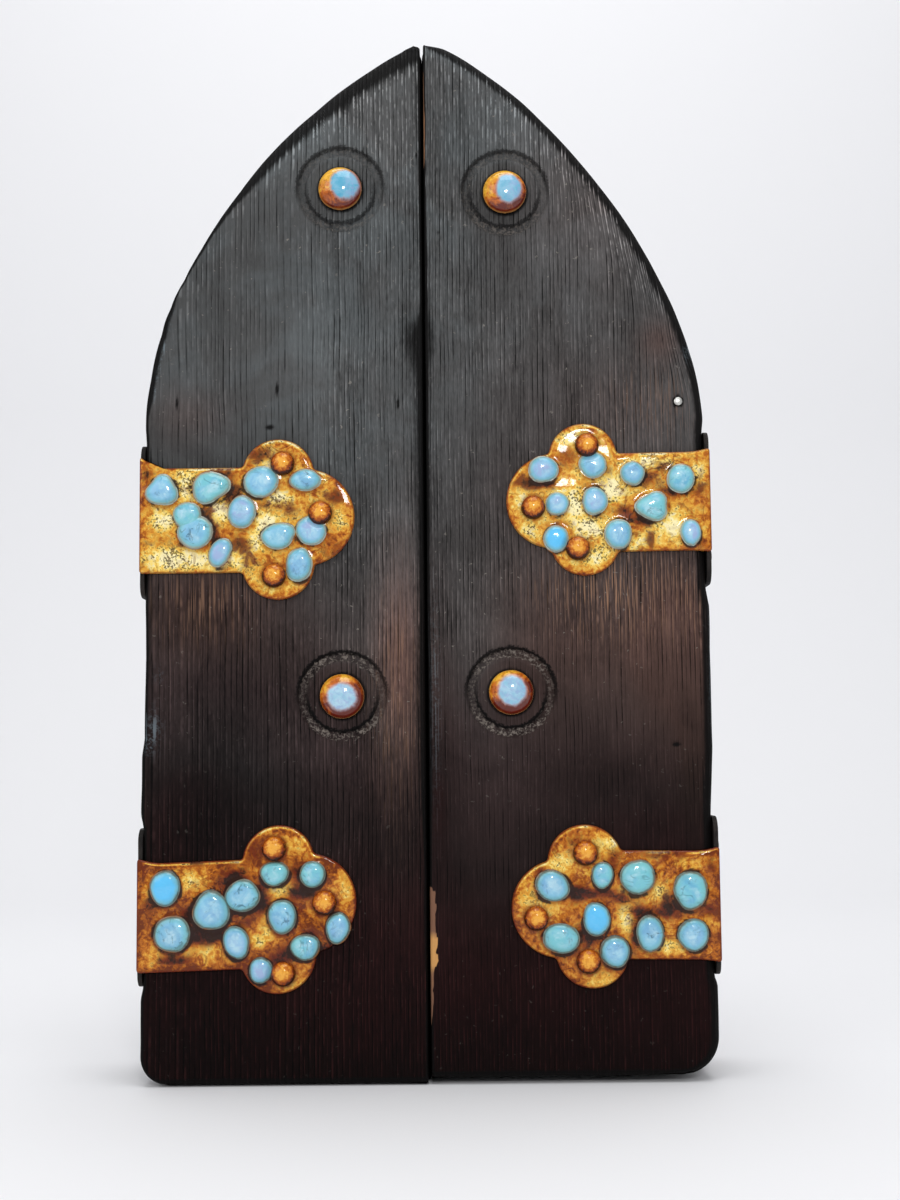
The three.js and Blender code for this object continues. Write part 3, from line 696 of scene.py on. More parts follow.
# places are x, z, half width, half height and depth or amount
dents = [
    (-96, 127, 3, 6, 0.9), (-99, 119, 2, 4, 1.2), (-95, 144, 2.2, 3, 0.6), (-55, 247, 2.6, 0.8, 0.5),
    (-58, 235, 1.2, 2.2, 0.3), (-12, 243, 1.0, 3, 0.4), (88, 117, 2.2, 1.2, 0.8), (5, 300, 1.2, 5, 0.5),
    (-94, 266, 2, 3, 1.2), (-91, 276, 2, 2.4, 1.0), (-87, 287, 2, 2.4, 0.9), (97, 186, 2, 6, 0.6),
    (98, 101, 2, 6, 0.6), (14, 105, 1.0, 3, 0.4), (95, 258, 2, 3, 0.8)]
nicks = [
    (-53, 245.7, 0.5, 2.6, 0.6), (-89, 241, 0.45, 2.4, 0.6), (-9.4, 240, 0.7, 2.0, 0.6),
    (-55.6, 232, 1.6, 0.4, 0.6), (-2, 332, 0.8, 1.2, 0.4), (5.6, 303, 1.0, 1.0, 0.3),
    (88, 117, 1.6, 0.8, 0.6), (-2.2, 264, 3.0, 7.0, 0.4)]
# painted highlights: glints on glossy char at the chipped left edge, along the right side and beside the seam
glintSpots = [
    (-97, 124, 2.6, 6, 0.5), (-98.5, 118.5, 1.4, 2.5, 0.7), (-95, 143, 1.6, 2.4, 0.3),
    (101, 140, 1.0, 22, 0.25), (95, 258, 1.5, 3, 0.4), (3, 142, 1.6, 34, 0.25)]
# places with a negative amount are ashen
warmPatches = [
    (-9, 138, 10, 46, 0.85), (88, 150, 16, 40, 1.0), (55, 150, 30, 34, 0.8), (-80, 166, 22, 18, 0.85),
    (94, 120, 5, 40, 0.8), (-45, 150, 40, 30, 0.3), (70, 236, 30, 24, 0.3), (-85, 236, 14, 10, 0.3),
    (85, 262, 8, 8, 0.5), (60, 310, 30, 40, 0.2), (30, 200, 25, 60, 0.15), (97, 118, 4, 24, 0.6),
    (-70, 104, 28, 38, -0.65)]
glows = [
    (-11, 140, 8, 46, 1.6), (80, 150, 30, 36, 0.65), (-60, 140, 40, 26, -0.2), (18, 150, 12, 36, 0.45),
    (-27, 148, 12, 22, 0.3), (-50, 242, 50, 40, 0.26), (45, 325, 40, 55, -0.12), (-80, 90, 18, 26, -0.62),
    (-36, 102, 20, 30, 0.52), (27, 94, 22, 30, 0.62), (34, 256, 30, 40, -0.1), (-80, 168, 20, 15, -0.3),
    (4, 102, 6, 22, -0.62)]
streaks = [
    (68, 172, 22, 14, 0.9), (95, 165, 6, 14, 0.4), (-78, 170, 16, 13, 0.5), (82, 238, 14, 12, 0.35),
    (-11, 140, 7, 34, 0.4)]
# width of the bare strip along the right door's seam, by height, and where it is dull
bareStrip = [
    (20, 0.0), (24, 0.6), (34, 0.9), (40, 1.2), (42, 2.3), (50, 2.5), (53, 2.0), (66, 2.2), (68, 0.0),
    (326, 0.0), (330, 0.4), (345, 0.5), (349, 0.25), (362, 0.2), (366, 0.0)]
bareDull = [(38, 1.0), (41, 0.0), (50, 0.0), (53, 1.1), (300, 0.9)]
studNames = ("upper_left", "upper_right", "lower_left", "lower_right")
studCentre = {name: sum(spanOf("stud_" + name))[[0, 2]] / 2 for name in studNames}
studRadius = np.ptp(np.array(spanOf("stud_upper_left"))[:, 2]) / 2
bradCentre = sum(spanOf("brad"))[[0, 2]] / 2


def along(points, z):
    # straight from point to point of a list of heights and values
    return np.interp(z, *np.array(points, float).T)


def growthRings(x, z, toSide, look):
    # a running count of rings at uneven distances, wider apart towards the side, which wander with the
    # height. On the right door they lean along the arch for a short way.
    spacing, seed = look["spacing"], look["seed"]
    rng = np.random.default_rng(seed)
    lines = np.cumsum(spacing * rng.uniform(0.5, 1.5, 320)) - 160 * spacing
    wander = softNoise(x * 0.25, z, 70, seed + 1) + 0.4 * softNoise(x, z, 22, seed + 12) - 0.7
    lean = 6 * np.exp(-(toSide / 8) ** 2) * within(z, *doorMake["leanUp"]) * (look["side"] > 0)
    reach = arch["half"] * np.log1p(look["spread"] * np.abs(x) / arch["half"]) / max(look["spread"], 0.01)
    return np.interp(np.sign(x) * reach + spacing * wander + lean, lines, np.arange(320.0))


def unevenRows(low, high, count, fine):
    # rows lie closer where a feature needs them: each is middle, half height, extra density
    z = np.linspace(low, high, 3000)
    density = 1 + sum(extra * np.exp(-((z - middle) / half) ** 4) for middle, half, extra in fine)
    run = np.concatenate([[0], np.cumsum((density[1:] + density[:-1]) / 2)])
    return np.interp(np.linspace(0, 1, count), run / run[-1], z)


def crowded(count, share):
    # steps from 0 to 1 that lie closer towards both ends
    t = np.linspace(0, 1, count)
    return (1 - share) * t + share * (0.5 - 0.5 * np.cos(pi * t))


def doorSides(look, z, foot):
    # inner edge in front and behind, and outer edge, at each height: arch, trim, round foot corner, blunt tip
    curveX, curveZ = archCurve(arch["half"], arch["tip"] + 1.0)
    outer = np.interp(z - smoothStep(z, 360, 374) + 1, curveZ, curveX) + along(look["trim"], z)
    outer -= 0.25 * softNoise(z, 0 * z, 9, look["seed"] + 5)
    corner, blunt = look["footCorner"], doorMake["blunt"]
    outer -= corner - np.sqrt(corner ** 2 - np.clip(corner - (z - foot), 0, corner) ** 2)
    closing = np.sqrt(1 - np.clip((z - (look["tip"] - blunt)) / blunt, 0, 1) ** 2)
    front, back = doorMake["seam"]
    tipRound = look["tipRound"] * (1 - closing)
    inner = front + 0.25 * softNoise(z, 0 * z, 30, look["seed"] + 6) + tipRound
    return inner, back + tipRound, inner + (outer - inner) * closing


def rounding(edges):
    # how near a point is to each edge, and how deep the edges' rounding sinks there
    nearness = [np.clip(1 - distance / width, 0, 1) ** 2 for distance, width, drop in edges]
    total = sum(nearness)
    drop = sum(near * edge[2] for near, edge in zip(nearness, edges)) / np.maximum(total, 1e-9)
    edge = np.sqrt(np.minimum(total, 1))
    return edge, drop * (1 - np.sqrt(1 - edge ** 2))


def makeDoor(name, look):
    # rows stand up the board, and each runs round its section: front, outer wall, back and inner wall
    side, seed = look["side"], look["seed"]
    low, high = spanOf(f"{name}_door")
    yFront, yBack, foot, top = low[1], high[1], low[2], look["tip"]
    studs = [studCentre[f"{level}_{name}"] for level in ("upper", "lower")]
    fine = [(foot, 9, 2.0), (top, 12, 1.8), *((stud[1], 19, 1.0) for stud in studs)]
    z = unevenRows(foot, top - 0.03, doorMake["rows"], fine)
    inner, innerBack, outer = doorSides(look, z, foot)
    lean = 1 / np.hypot(1, np.gradient(outer, z))
    inner, innerBack, outer, lean, height = (a[:, None] for a in (inner, innerBack, outer, lean, z))
    # front: the rounded edges, then the dents and ring grooves
    u = inner + crowded(*doorMake["front"]) * (outer - inner)
    x, zGrid = side * u, np.broadcast_to(height, u.shape)
    sideWidth, sideDrop = along(look["edgeWidth"], height), along(look["edgeDrop"], height)
    charred = within(height, *look["charred"])
    seamWidth, seamDrop = [1.0 + (a - 1.0) * charred for a in look["seamEdge"]]
    toSide = (outer - u) * lean
    edge, sunk = rounding([
        (u - inner, seamWidth, seamDrop), (toSide, sideWidth, sideDrop),
        (zGrid - foot, *doorMake["footEdge"])])
    swing, cell = doorMake["unevenness"]
    y = yFront + sunk + swing * softNoise(x, zGrid, cell, seed + 3) + spots(x, zGrid, dents)
    away, above = np.full(x.shape, doorMake["farAway"]), np.zeros(x.shape)
    grooveIn, grooveOut = grooveLook["inner"], grooveLook["outer"]
    middle, half = (grooveOut + grooveIn) / 2, (grooveOut - grooveIn) / 2
    for stud in studs:
        dx, dz = x - stud[0], zGrid - stud[1]
        radius = np.hypot(dx, dz)
        rough = softNoise(np.arctan2(dz, dx) * 14, radius, 1.2, seed + 7) * softNoise(x, zGrid, 1.3, seed + 8)
        hollow = 1 - smoothStep(np.abs(radius - middle), half - grooveLook["wall"], half + 0.1)
        y = y + grooveLook["depth"] * hollow * (0.75 + 0.5 * rough)
        above = np.where(radius < away, dz / np.maximum(radius, 1), above)
        away = np.minimum(away, radius)
    # painted shadow round the studs' feet, a dark ring round the brad, dark nicks, and pale grain ends along
    # the arch, lit up as painted highlight
    sootAndShadow = 0.4 * (1 - smoothStep(away, studRadius + 0.2, studRadius + 1.4)) + spots(x, zGrid, nicks)
    sootAndShadow = sootAndShadow + 0.6 * (1 - smoothStep(np.hypot(x - bradCentre[0], zGrid - bradCentre[1]), 1.6, 2.4))
    # soot and painted shade thin out from the charred, rounded seam, farthest where the left door is burnt
    burntAt, burntHalf = doorMake["burntSpot"]
    reach = look["shadeReach"] * (1 + 1.5 * np.exp(-((zGrid - burntAt) / burntHalf) ** 2))
    sootAndShadow = np.maximum(sootAndShadow, 0.03 + 0.37 * charred * np.exp(-((u - inner) / reach) ** 2))
    calm = look["calm"] * smoothStep(u, *doorMake["calmAcross"]) * within(zGrid, *doorMake["calmUp"])
    calm = np.maximum(calm, look["calmFoot"] * smoothStep(zGrid, *doorMake["calmFootUp"]))
    # painted highlight on the pale grain ends just inside the arch's dark edge, and more pale dashes towards
    # the top
    hatch = np.exp(-((toSide - 0.75 * sideWidth - 2.2) / 4.2) ** 2) * smoothStep(height, 262, 290)
    hatch = np.maximum(hatch, 0.4 * smoothStep(zGrid, 285, 350)) * smoothStep(away, 15, 19)
    gleam = np.exp(-((toSide - 0.85 * sideWidth) / 0.5) ** 2) * along(look["gleam"], zGrid)
    reach = along(bareStrip, zGrid) * (0.7 + 0.6 * softNoise(zGrid, 0 * x, 2.2, seed + 10))
    bare = smoothStep(u - inner - reach, 0.3, -0.3) * (reach > 0.1) * (side > 0)
    # walls and back: straight from edge to edge, with small round edges at the back. The inner walls meet
    # half way in, so that no light comes through the seam.
    wall = np.linspace(0, 1, doorMake["wall"] + 2)[1:-1]
    ub = innerBack + crowded(*doorMake["back"])[::-1] * (outer - innerBack)
    toEdges = ub - innerBack, (outer - ub) * lean, height - foot + 0 * ub
    yb = yBack - rounding([(distance, *doorMake["backEdge"]) for distance in toEdges])[1]
    walls = y[:, -1:] + wall * (yb[:, :1] - y[:, -1:]), yb[:, -1:] + wall * (y[:, :1] - yb[:, -1:])
    innerWall = innerBack + smoothStep(wall, *doorMake["lip"]) * (inner - innerBack)
    uAll = np.concatenate([u, np.repeat(outer, len(wall), 1), ub, innerWall], axis=1)
    yAll = np.concatenate([y, walls[0], yb, walls[1]], axis=1)
    zAll = np.broadcast_to(height, uAll.shape)
    onWall = np.concatenate([np.ones(len(wall)), np.zeros(ub.shape[1]), np.ones(len(wall))])
    plainTurns = (side * uAll + yAll)[:, u.shape[1]:] / doorMake["plainSpacing"]
    turns = np.concatenate([growthRings(x, zGrid, toSide, look), plainTurns], axis=1)

    def marked(front, rest=0.0):
        return np.concatenate([front, np.broadcast_to(rest, (len(z), len(onWall)))], axis=1)

    patchy = 0.92 + 0.16 * softNoise(side * uAll, zAll, 40, seed + 9)
    tone = linear(along(toneByHeight, zAll) * patchy) - 0.003
    disc = 0.16 * (1 - smoothStep(away, grooveIn - 1, grooveIn))
    tone = np.maximum(tone, 0.002) * marked(1 + spots(x, zGrid, glows) - disc, 1.0)
    # the walls get an edge mark of 0.4: painted shade on the board's sides and inside the seam
    part = skin(
        np.stack([side * uAll, yAll, zAll], axis=-1), tone=tone, count=turns, hatch=marked(hatch),
        edge=marked(np.maximum(edge, sootAndShadow), 0.4 * onWall), bare=marked(bare), low=along(bareDull, zAll),
        warm=marked(np.clip(spots(x, zGrid, warmPatches), -1, 1), 0.2),
        streak=marked(spots(x, zGrid, streaks)), chip=marked(spots(x, zGrid, glintSpots) + gleam),
        away=marked(away, doorMake["farAway"]), above=marked(above), calm=marked(calm))
    makePiece(f"{name}DoorBoard", [part], pine, f"{name}_leaf", [f"{name}_door"])


for doorName, doorShape in doorLook.items():
    makeDoor(doorName, doorShape)
print("doors carved")

# Centre panel: rings run from the back's middle over the edges and down the niche to its floor
panelLook = {
    "edge": 3.0, "columns": 520, "nicheInset": 20.0, "nicheFoot": 24.0, "nicheDepth": 10.0, "nicheLip": 1.2,
    "corner": 11.0, "seed": 41, "middle": (0.0, 170.0)}


def insetArch(distance, foot, corner):
    # the arch that keeps its distance inside the board's sides and, by the tip's slope, inside its tip
    tip = arch["tip"] - distance * np.hypot(arch["lean"], arch["dip"]) / arch["lean"]
    return archOutline(arch["half"] - distance, foot, tip, corner)


def makePanel():
    # each ring is an arch of its own size and depth
    low, high = spanOf("centre_panel")
    look, seed = panelLook, panelLook["seed"]
    yBack, yFront, centre = high[1], low[1], np.array(look["middle"])
    outline = eased(even(archOutline(arch["half"], 0.0, arch["tip"], look["corner"]), look["columns"]), 2)
    outline[:, 1] = np.minimum(outline[:, 1], high[2])
    angles = np.arctan2(*(outline - centre).T[::-1])
    niche = atAngles(insetArch(look["nicheInset"], look["nicheFoot"], 5.0), centre, angles)

    # a quarter round in steps: how far short of each of its two ends, as a share
    quarter, edge = np.linspace(0, pi / 2, 6), look["edge"]
    rounds = list(zip(1 - np.sin(quarter), 1 - np.cos(quarter)))
    rings = [*ringAt(drawnIn(outline, centre, (0.05, 0.3, 0.55, 0.78, 0.92)), yBack)]
    rings += [ringAt(inset(outline, edge * short), yBack - edge * far) for short, far in rounds]
    rings += [ringAt(outline, y) for y in np.linspace(yBack - edge, yFront + edge, 9)[1:-1]]
    rings += [ringAt(inset(outline, edge * far), yFront + edge * short) for short, far in rounds]
    lip, floor = look["nicheLip"], yFront + look["nicheDepth"]
    mouth = inset(niche, -lip)
    rings += [ringAt(inset(outline, edge) * (1 - t) + mouth * t, yFront) for t in np.linspace(0, 1, 12)[1:]]
    rings += [ringAt(inset(niche, -lip * short), yFront + lip * far) for short, far in rounds[1:]]
    rings += [ringAt(niche, y) for y in np.linspace(yFront + lip, floor, 6)[1:]]
    rings += [*ringAt(drawnIn(niche, centre, (0.985, 0.9, 0.75, 0.5, 0.25, 0.05)), floor)]
    rings = np.array(rings)
    x, y, z = rings[..., 0], rings[..., 1], rings[..., 2]
    inNiche = (np.abs(x) < arch["half"] - look["nicheInset"] + 1) * (y < floor + 1)
    shaded = 18 * smoothStep(y, yFront + 0.5, floor) * inNiche
    tone = linear(46 + 22 * softNoise(x + y, z, 50, seed + 2) - shaded)
    unmarked = dict.fromkeys(("hatch", "edge", "bare", "low", "streak", "chip", "above", "calm"), 0.0)
    part = skin(
        rings, tone=tone, count=(x + y) / doorMake["plainSpacing"], warm=0.5 * softNoise(x, z, 60, seed + 3),
        away=doorMake["farAway"], **unmarked)
    makePiece("centrePanelBoard", [part], pine, "centre", ["centre_panel"])


makePanel()
print("panel carved")

# Straps. along runs inwards from the board's side, up from the middle of the band.
# lobes: upper, end and lower as along, up, radius.
# drops: along, up, half length, half height, tilt in degrees, and for some how cornered they are and where a
# corner points.
# smudges and pales: along, up, half length, half height, amount.
strapLook = {
    "upper_left": {
        "side": -1, "height": 198.2, "age": 0.12, "band": (18.9, -18.9), "flare": (2.8, 0.0),
        "slope": 0.0, "seed": 3,
        "lobes": [(47.5, 16.1, 12.9), (57.5, 0.8, 17.3), (47.5, -15.7, 13.0)],
        "drops": [
            (6.2, 10.6, 5.9, 5.7, 0, 0.1, -35), (23.4, 11.8, 7.0, 5.8, 20, 0.08, 225),
            (41.5, 13.5, 6.5, 5.8, 0), (57.3, 14.0, 6.0, 4.0, 0), (34.7, 2.8, 5.1, 6.3, -12),
            (15.3, 1.6, 5.2, 5.2, 0), (18.0, -4.2, 6.5, 6.5, 0), (27.0, -11.7, 4.0, 5.6, -28),
            (47.7, -5.9, 6.4, 4.8, 12, 0.05, 30), (59.4, -4.2, 5.6, 5.5, 0), (55.0, -16.4, 4.9, 6.3, -8)],
        "tints": "blue teal blue veined lilac teal veined lilac veined lilac blue",
        "smudges": [
            (31, 10, 3.2, 4.5, 1.0), (27, 16.7, 6, 1.8, 0.6), (41, 23, 4.5, 3, 0.75), (68, 8, 4, 2.6, 0.7),
            (46, 5, 5, 2.2, 0.5), (22, 2.3, 2.2, 4.5, 0.8), (25, -5, 2.4, 4.5, 0.7), (33.5, -9, 3, 3, 0.6),
            (37.5, -14.5, 2.5, 3.5, 0.6), (5, -8.4, 5, 1.6, 0.4), (67, -11, 5, 4, 0.4), (13, -8, 2, 5, 0.35),
            (52, 3, 3, 3, 0.4), (1, 16, 2, 3, 0.5)],
        "pales": [
            (7, 0, 4.5, 3, 0.8), (27, 2.3, 4, 4, 0.8), (15, 13, 3, 6, 0.6), (9, -13.7, 8, 4.5, 0.9),
            (27, -15, 7, 3, 0.8), (44, -1, 3, 3, 0.9), (40, -8, 2.5, 4, 0.8), (48, 8, 4, 2.2, 0.7),
            (62, 6, 5, 3, 0.3), (52, -24, 6, 3, 0.4), (70, 0, 3, 5, 0.3), (44, 19, 3, 3, 0.4)],
    },
    "upper_right": {
        "side": 1, "height": 203.2, "age": 0.0, "band": (17.6, -17.9), "flare": (0.8, 0.4),
        "slope": -0.01, "seed": 5,
        "lobes": [(43.5, 16.3, 12.2), (54.0, 0.8, 17.0), (43.0, -13.7, 12.5)],
        "drops": [
            (57.7, 11.9, 5.6, 4.9, 0), (40.0, 13.4, 5.1, 4.9, 30), (25.8, 10.2, 4.5, 4.4, 0),
            (8.7, 8.2, 5.2, 5.4, 0), (52.9, -0.6, 4.2, 4.4, 30), (39.5, 0.4, 4.6, 5.4, 0),
            (18.9, -1.8, 6.0, 5.3, 0, 0.11, 0), (31.3, -11.6, 5.0, 5.7, 0), (53.5, -13.0, 4.7, 5.0, 0),
            (5.5, -11.2, 3.9, 4.9, 0)],
        "tints": "lilac blue blue teal lilac lilac teal blue vivid lilac",
        "smudges": [
            (48, 16.5, 4, 3.5, 0.55), (58, 6.7, 5, 1.4, 0.9), (64, 8, 4, 2.6, 0.6), (20.5, 8.5, 3.5, 3, 0.85),
            (15, 12.5, 2.5, 2, 0.5), (29, -4, 3.6, 3, 0.8), (23, -7, 3.2, 1.8, 0.9), (11, 3.4, 6, 1.8, 0.65),
            (19.7, -13.6, 1.8, 4, 0.55), (40, 5.8, 3, 1.8, 0.5), (53.6, -8.4, 5, 1.6, 0.55),
            (1.7, 4.7, 2.6, 4, 0.5), (1.7, -15, 2.4, 3, 0.45), (35, 9, 2, 5, 0.35)],
        "pales": [
            (48, 23, 5, 3, 0.7), (63, -10, 4, 4, 0.5), (47, 0.4, 3.2, 4, 0.9), (33.4, 4.7, 3, 3.5, 0.9),
            (41, -9, 5, 2.6, 0.9), (12, -9, 5, 5, 0.9), (20, 14.5, 5, 2, 0.6), (39, -20, 5, 3, 0.6),
            (66, 2, 3, 4, 0.5), (3, 12, 3, 4, 0.4), (26, -15, 4, 2.5, 0.5)],
    },
    "lower_left": {
        "side": -1, "height": 59.6, "age": 0.8, "band": (18.9, -18.8), "flare": (1.2, 0.0),
        "slope": 0.03, "seed": 7,
        "lobes": [(47.5, 17.9, 12.5), (57.5, 2.9, 17.3), (47.5, -14.6, 13.2)],
        "drops": [
            (8.0, 9.1, 5.6, 6.4, -10), (10.5, -6.8, 6.6, 6.6, 0), (24.2, 1.1, 6.8, 6.9, 0, 0.05, 210),
            (35.1, 6.1, 6.2, 5.8, 0), (46.3, 13.8, 5.3, 4.4, 0, 0.04, 270), (59.6, 13.3, 4.7, 4.7, 0),
            (48.9, -1.2, 5.2, 6.1, 0), (68.4, -5.2, 4.4, 5.5, -12), (56.9, -11.7, 5.3, 4.7, 0),
            (33.0, -9.9, 4.7, 5.9, 22), (41.5, -19.5, 4.2, 4.6, 0)],
        "tints": "vivid veined blue veined teal teal veined blue teal lilac lilac",
        "smudges": [
            (17.7, 0, 3.6, 3.6, 0.9), (20, -7.6, 4.5, 2.6, 0.85), (27, -7.8, 4, 2, 0.85),
            (32.4, 13, 4, 2.6, 0.85), (42, 3.2, 2.6, 3, 0.85), (55.5, 7, 6, 2.2, 0.9),
            (58.6, -7, 2.4, 2, 0.8), (52, -14, 3, 3, 0.75), (47, -16, 2.6, 2.4, 0.7),
            (11.5, -16, 6, 1.5, 0.75), (40, 21.5, 2.6, 3.6, 0.55), (16.7, 18.3, 10, 1.3, 0.65),
            (54.4, 14, 2.4, 3.6, 0.65), (3, 3, 2.4, 4, 0.6), (66, 1.5, 3, 2.4, 0.6), (64, -12, 3, 3, 0.5),
            (36, -3, 3, 2, 0.6), (27, 10, 4, 2.4, 0.5), (42, 9, 2, 3, 0.6)],
        "pales": [
            (16.7, 13, 6, 3.5, 0.55), (21, -13.4, 5, 3, 0.55), (48, 7.6, 4, 1.8, 0.85), (44, -5, 2.4, 4, 0.6),
            (40, -10, 3, 2.4, 0.6), (71, 9, 3, 5, 0.5), (3, -15, 3, 3, 0.55), (54, -25, 7, 2.6, 0.5),
            (54, 24, 4, 3, 0.5), (62, 4, 3, 2, 0.3), (46, 25, 3, 2, 0.4), (2, 10, 2, 5, 0.3)],
    },
    "lower_right": {
        "side": 1, "height": 61.7, "age": 0.52, "band": (18.6, -18.9), "flare": (1.0, 0.6),
        "slope": 0.014, "seed": 9,
        "lobes": [(45.0, 14.3, 13.2), (54.0, -1.7, 17.0), (43.0, -16.2, 12.8)],
        "drops": [
            (56.7, 6.5, 6.4, 5.4, 30), (39.2, 10.0, 3.9, 4.8, 0), (26.8, 9.2, 6.3, 6.2, 0),
            (8.5, 4.5, 6.0, 7.1, 0, 0.03, 270), (41.5, -5.2, 4.8, 6.1, 0), (53.9, -11.7, 6.7, 5.3, 0),
            (35.3, -16.3, 5.4, 5.6, 0), (22.9, -10.3, 4.9, 6.7, -8), (7.9, -10.9, 5.7, 5.7, 0)],
        "tints": "blue teal teal teal vivid teal blue veined blue",
        "smudges": [
            (48.7, 3.7, 3.6, 2.6, 0.85), (40.4, 3.7, 6, 1.8, 0.75), (45.8, -9, 2.6, 3, 0.75),
            (32, 1.8, 4, 1.6, 0.65), (26, -2.8, 4, 1.8, 0.9), (28, -11, 1.8, 5, 0.85),
            (16.5, -2.6, 4, 2.2, 0.85), (17, 2, 2.2, 4, 0.6), (47.7, 20.7, 4, 2.6, 0.5),
            (60.5, 11, 3, 1.8, 0.6), (35, -21, 4, 1.8, 0.7), (44, -13, 3, 3, 0.6), (52, -17, 4, 1.8, 0.55),
            (17.5, 17, 8, 1.8, 0.45), (36, 15, 2.6, 3.6, 0.6), (2, -2, 2.4, 2, 0.6), (1.5, 12, 2, 4, 0.5),
            (62, -6, 2, 5, 0.4)],
        "pales": [
            (31, 6, 3, 2, 0.5), (19.6, 4, 3, 3, 0.6), (31, -5.5, 2.6, 4, 0.8), (54, 14.3, 3.5, 2.4, 0.6),
            (36, 21.5, 4, 3, 0.6), (66, 3, 3, 5, 0.6), (40, -27, 6, 2.4, 0.6), (15.5, -15, 6, 3, 0.7),
            (58, -1.6, 4, 3, 0.6), (8, 14, 5, 2.5, 0.4), (60, -20, 3, 2, 0.4)],
    },
}
# halos are where the marks round drops, nails and rim begin and end; grown is by how much places spread
strapMake = {
    "columns": 440, "rings": 62, "overhang": 2.0, "thick": 1.2, "edge": 0.9, "edgeSink": 0.7, "wave": 0.28,
    "swell": 0.2, "fieldReach": 24.0, "flareReach": 7.0, "dropHalo": (0.95, 1.25), "nailHalo": (4.2, 5.8),
    "rimHalo": (0.1, 3.2), "grown": {"smudges": (1, 1, 1.2, 1.2, 1.05), "pales": (1, 1, 1.2, 1.2, 1.15)}}
dropMake = {
    "columns": 48, "rise": 2.1, "rings": 15, "size": 0.91, "sink": 0.3, "dimple": 0.25,
    "nailRoom": (3.6, 6.6), "skirt": (1.14, 1.07, 1.02), "crowding": 0.85, "fullness": 2.6}
# how lilac, teal, veined and vivid the glass of a drop is
dropTints = {
    "blue": (0.4, 0.25, 0.4, 0.0), "lilac": (1.0, 0.1, 0.15, 0.0), "teal": (0.1, 0.9, 0.6, 0.0),
    "veined": (0.3, 0.4, 1.0, 0.0), "vivid": (0.0, 0.15, 0.0, 1.0)}


def leafOf(look):
    return "left_leaf" if look["side"] < 0 else "right_leaf"


def strapOutline(look):
    # from a point in the lobes, the farthest way out of the band or of any lobe, as along and up
    centre = np.array([look["lobes"][0][0], 1.0])
    ray = circle(fullTurn(1440) + 1e-4)
    upper, lower = look["band"]
    wayUp = np.where(ray[:, 1] > 0, upper - centre[1], lower - centre[1]) / ray[:, 1]
    wayAlong = np.where(ray[:, 0] > 0, 0.0, -strapMake["overhang"] - centre[0]) / ray[:, 0]
    reach = np.minimum(wayUp, wayAlong)
    for place, up, radius in look["lobes"]:
        to = np.array([place, up]) - centre
        near = ray @ to
        inside = radius ** 2 - (to @ to - near ** 2)
        reach = np.maximum(reach, np.where(inside > 0, near + np.sqrt(np.maximum(inside, 0)), 0))
    flat = eased(even(centre + reach[:, None] * ray, strapMake["columns"]), 2)
    # the outer end flares, and the band leans a little
    reach, (flareUp, flareDown) = strapMake["flareReach"], look["flare"]
    end = np.clip((reach - flat[:, 0]) / reach, 0, 1.3) ** 2
    flat[:, 1] += end * np.where(flat[:, 1] > 0, flareUp, -flareDown) * np.abs(flat[:, 1]) / upper
    flat[:, 1] += look["slope"] * (flat[:, 0] - centre[0])
    return flat, centre


def strapPlace(look, flat):
    # along and up become x and z
    return np.stack([look["side"] * (arch["half"] - flat[..., 0]), look["height"] + flat[..., 1]], axis=-1)


def waveOf(look, flat):
    # the enamel's waves: soft noise in two sizes
    a, b, seed = flat[..., 0], flat[..., 1], look["seed"]
    return strapMake["wave"] * (softNoise(a, b, 9, seed) + 0.5 * softNoise(a, b, 4, seed + 1))


def roomAt(name, place):
    # distance to the nearest nail of a strap
    boxes = [spanOf(f"strap_nail_{name}_{i}") for i in (1, 2, 3)]
    nails = np.array([(low + high)[[0, 2]] / 2 for low, high in boxes])
    return np.min(np.hypot(*np.moveaxis(place[..., None, :] - nails, -1, 0)), axis=-1)


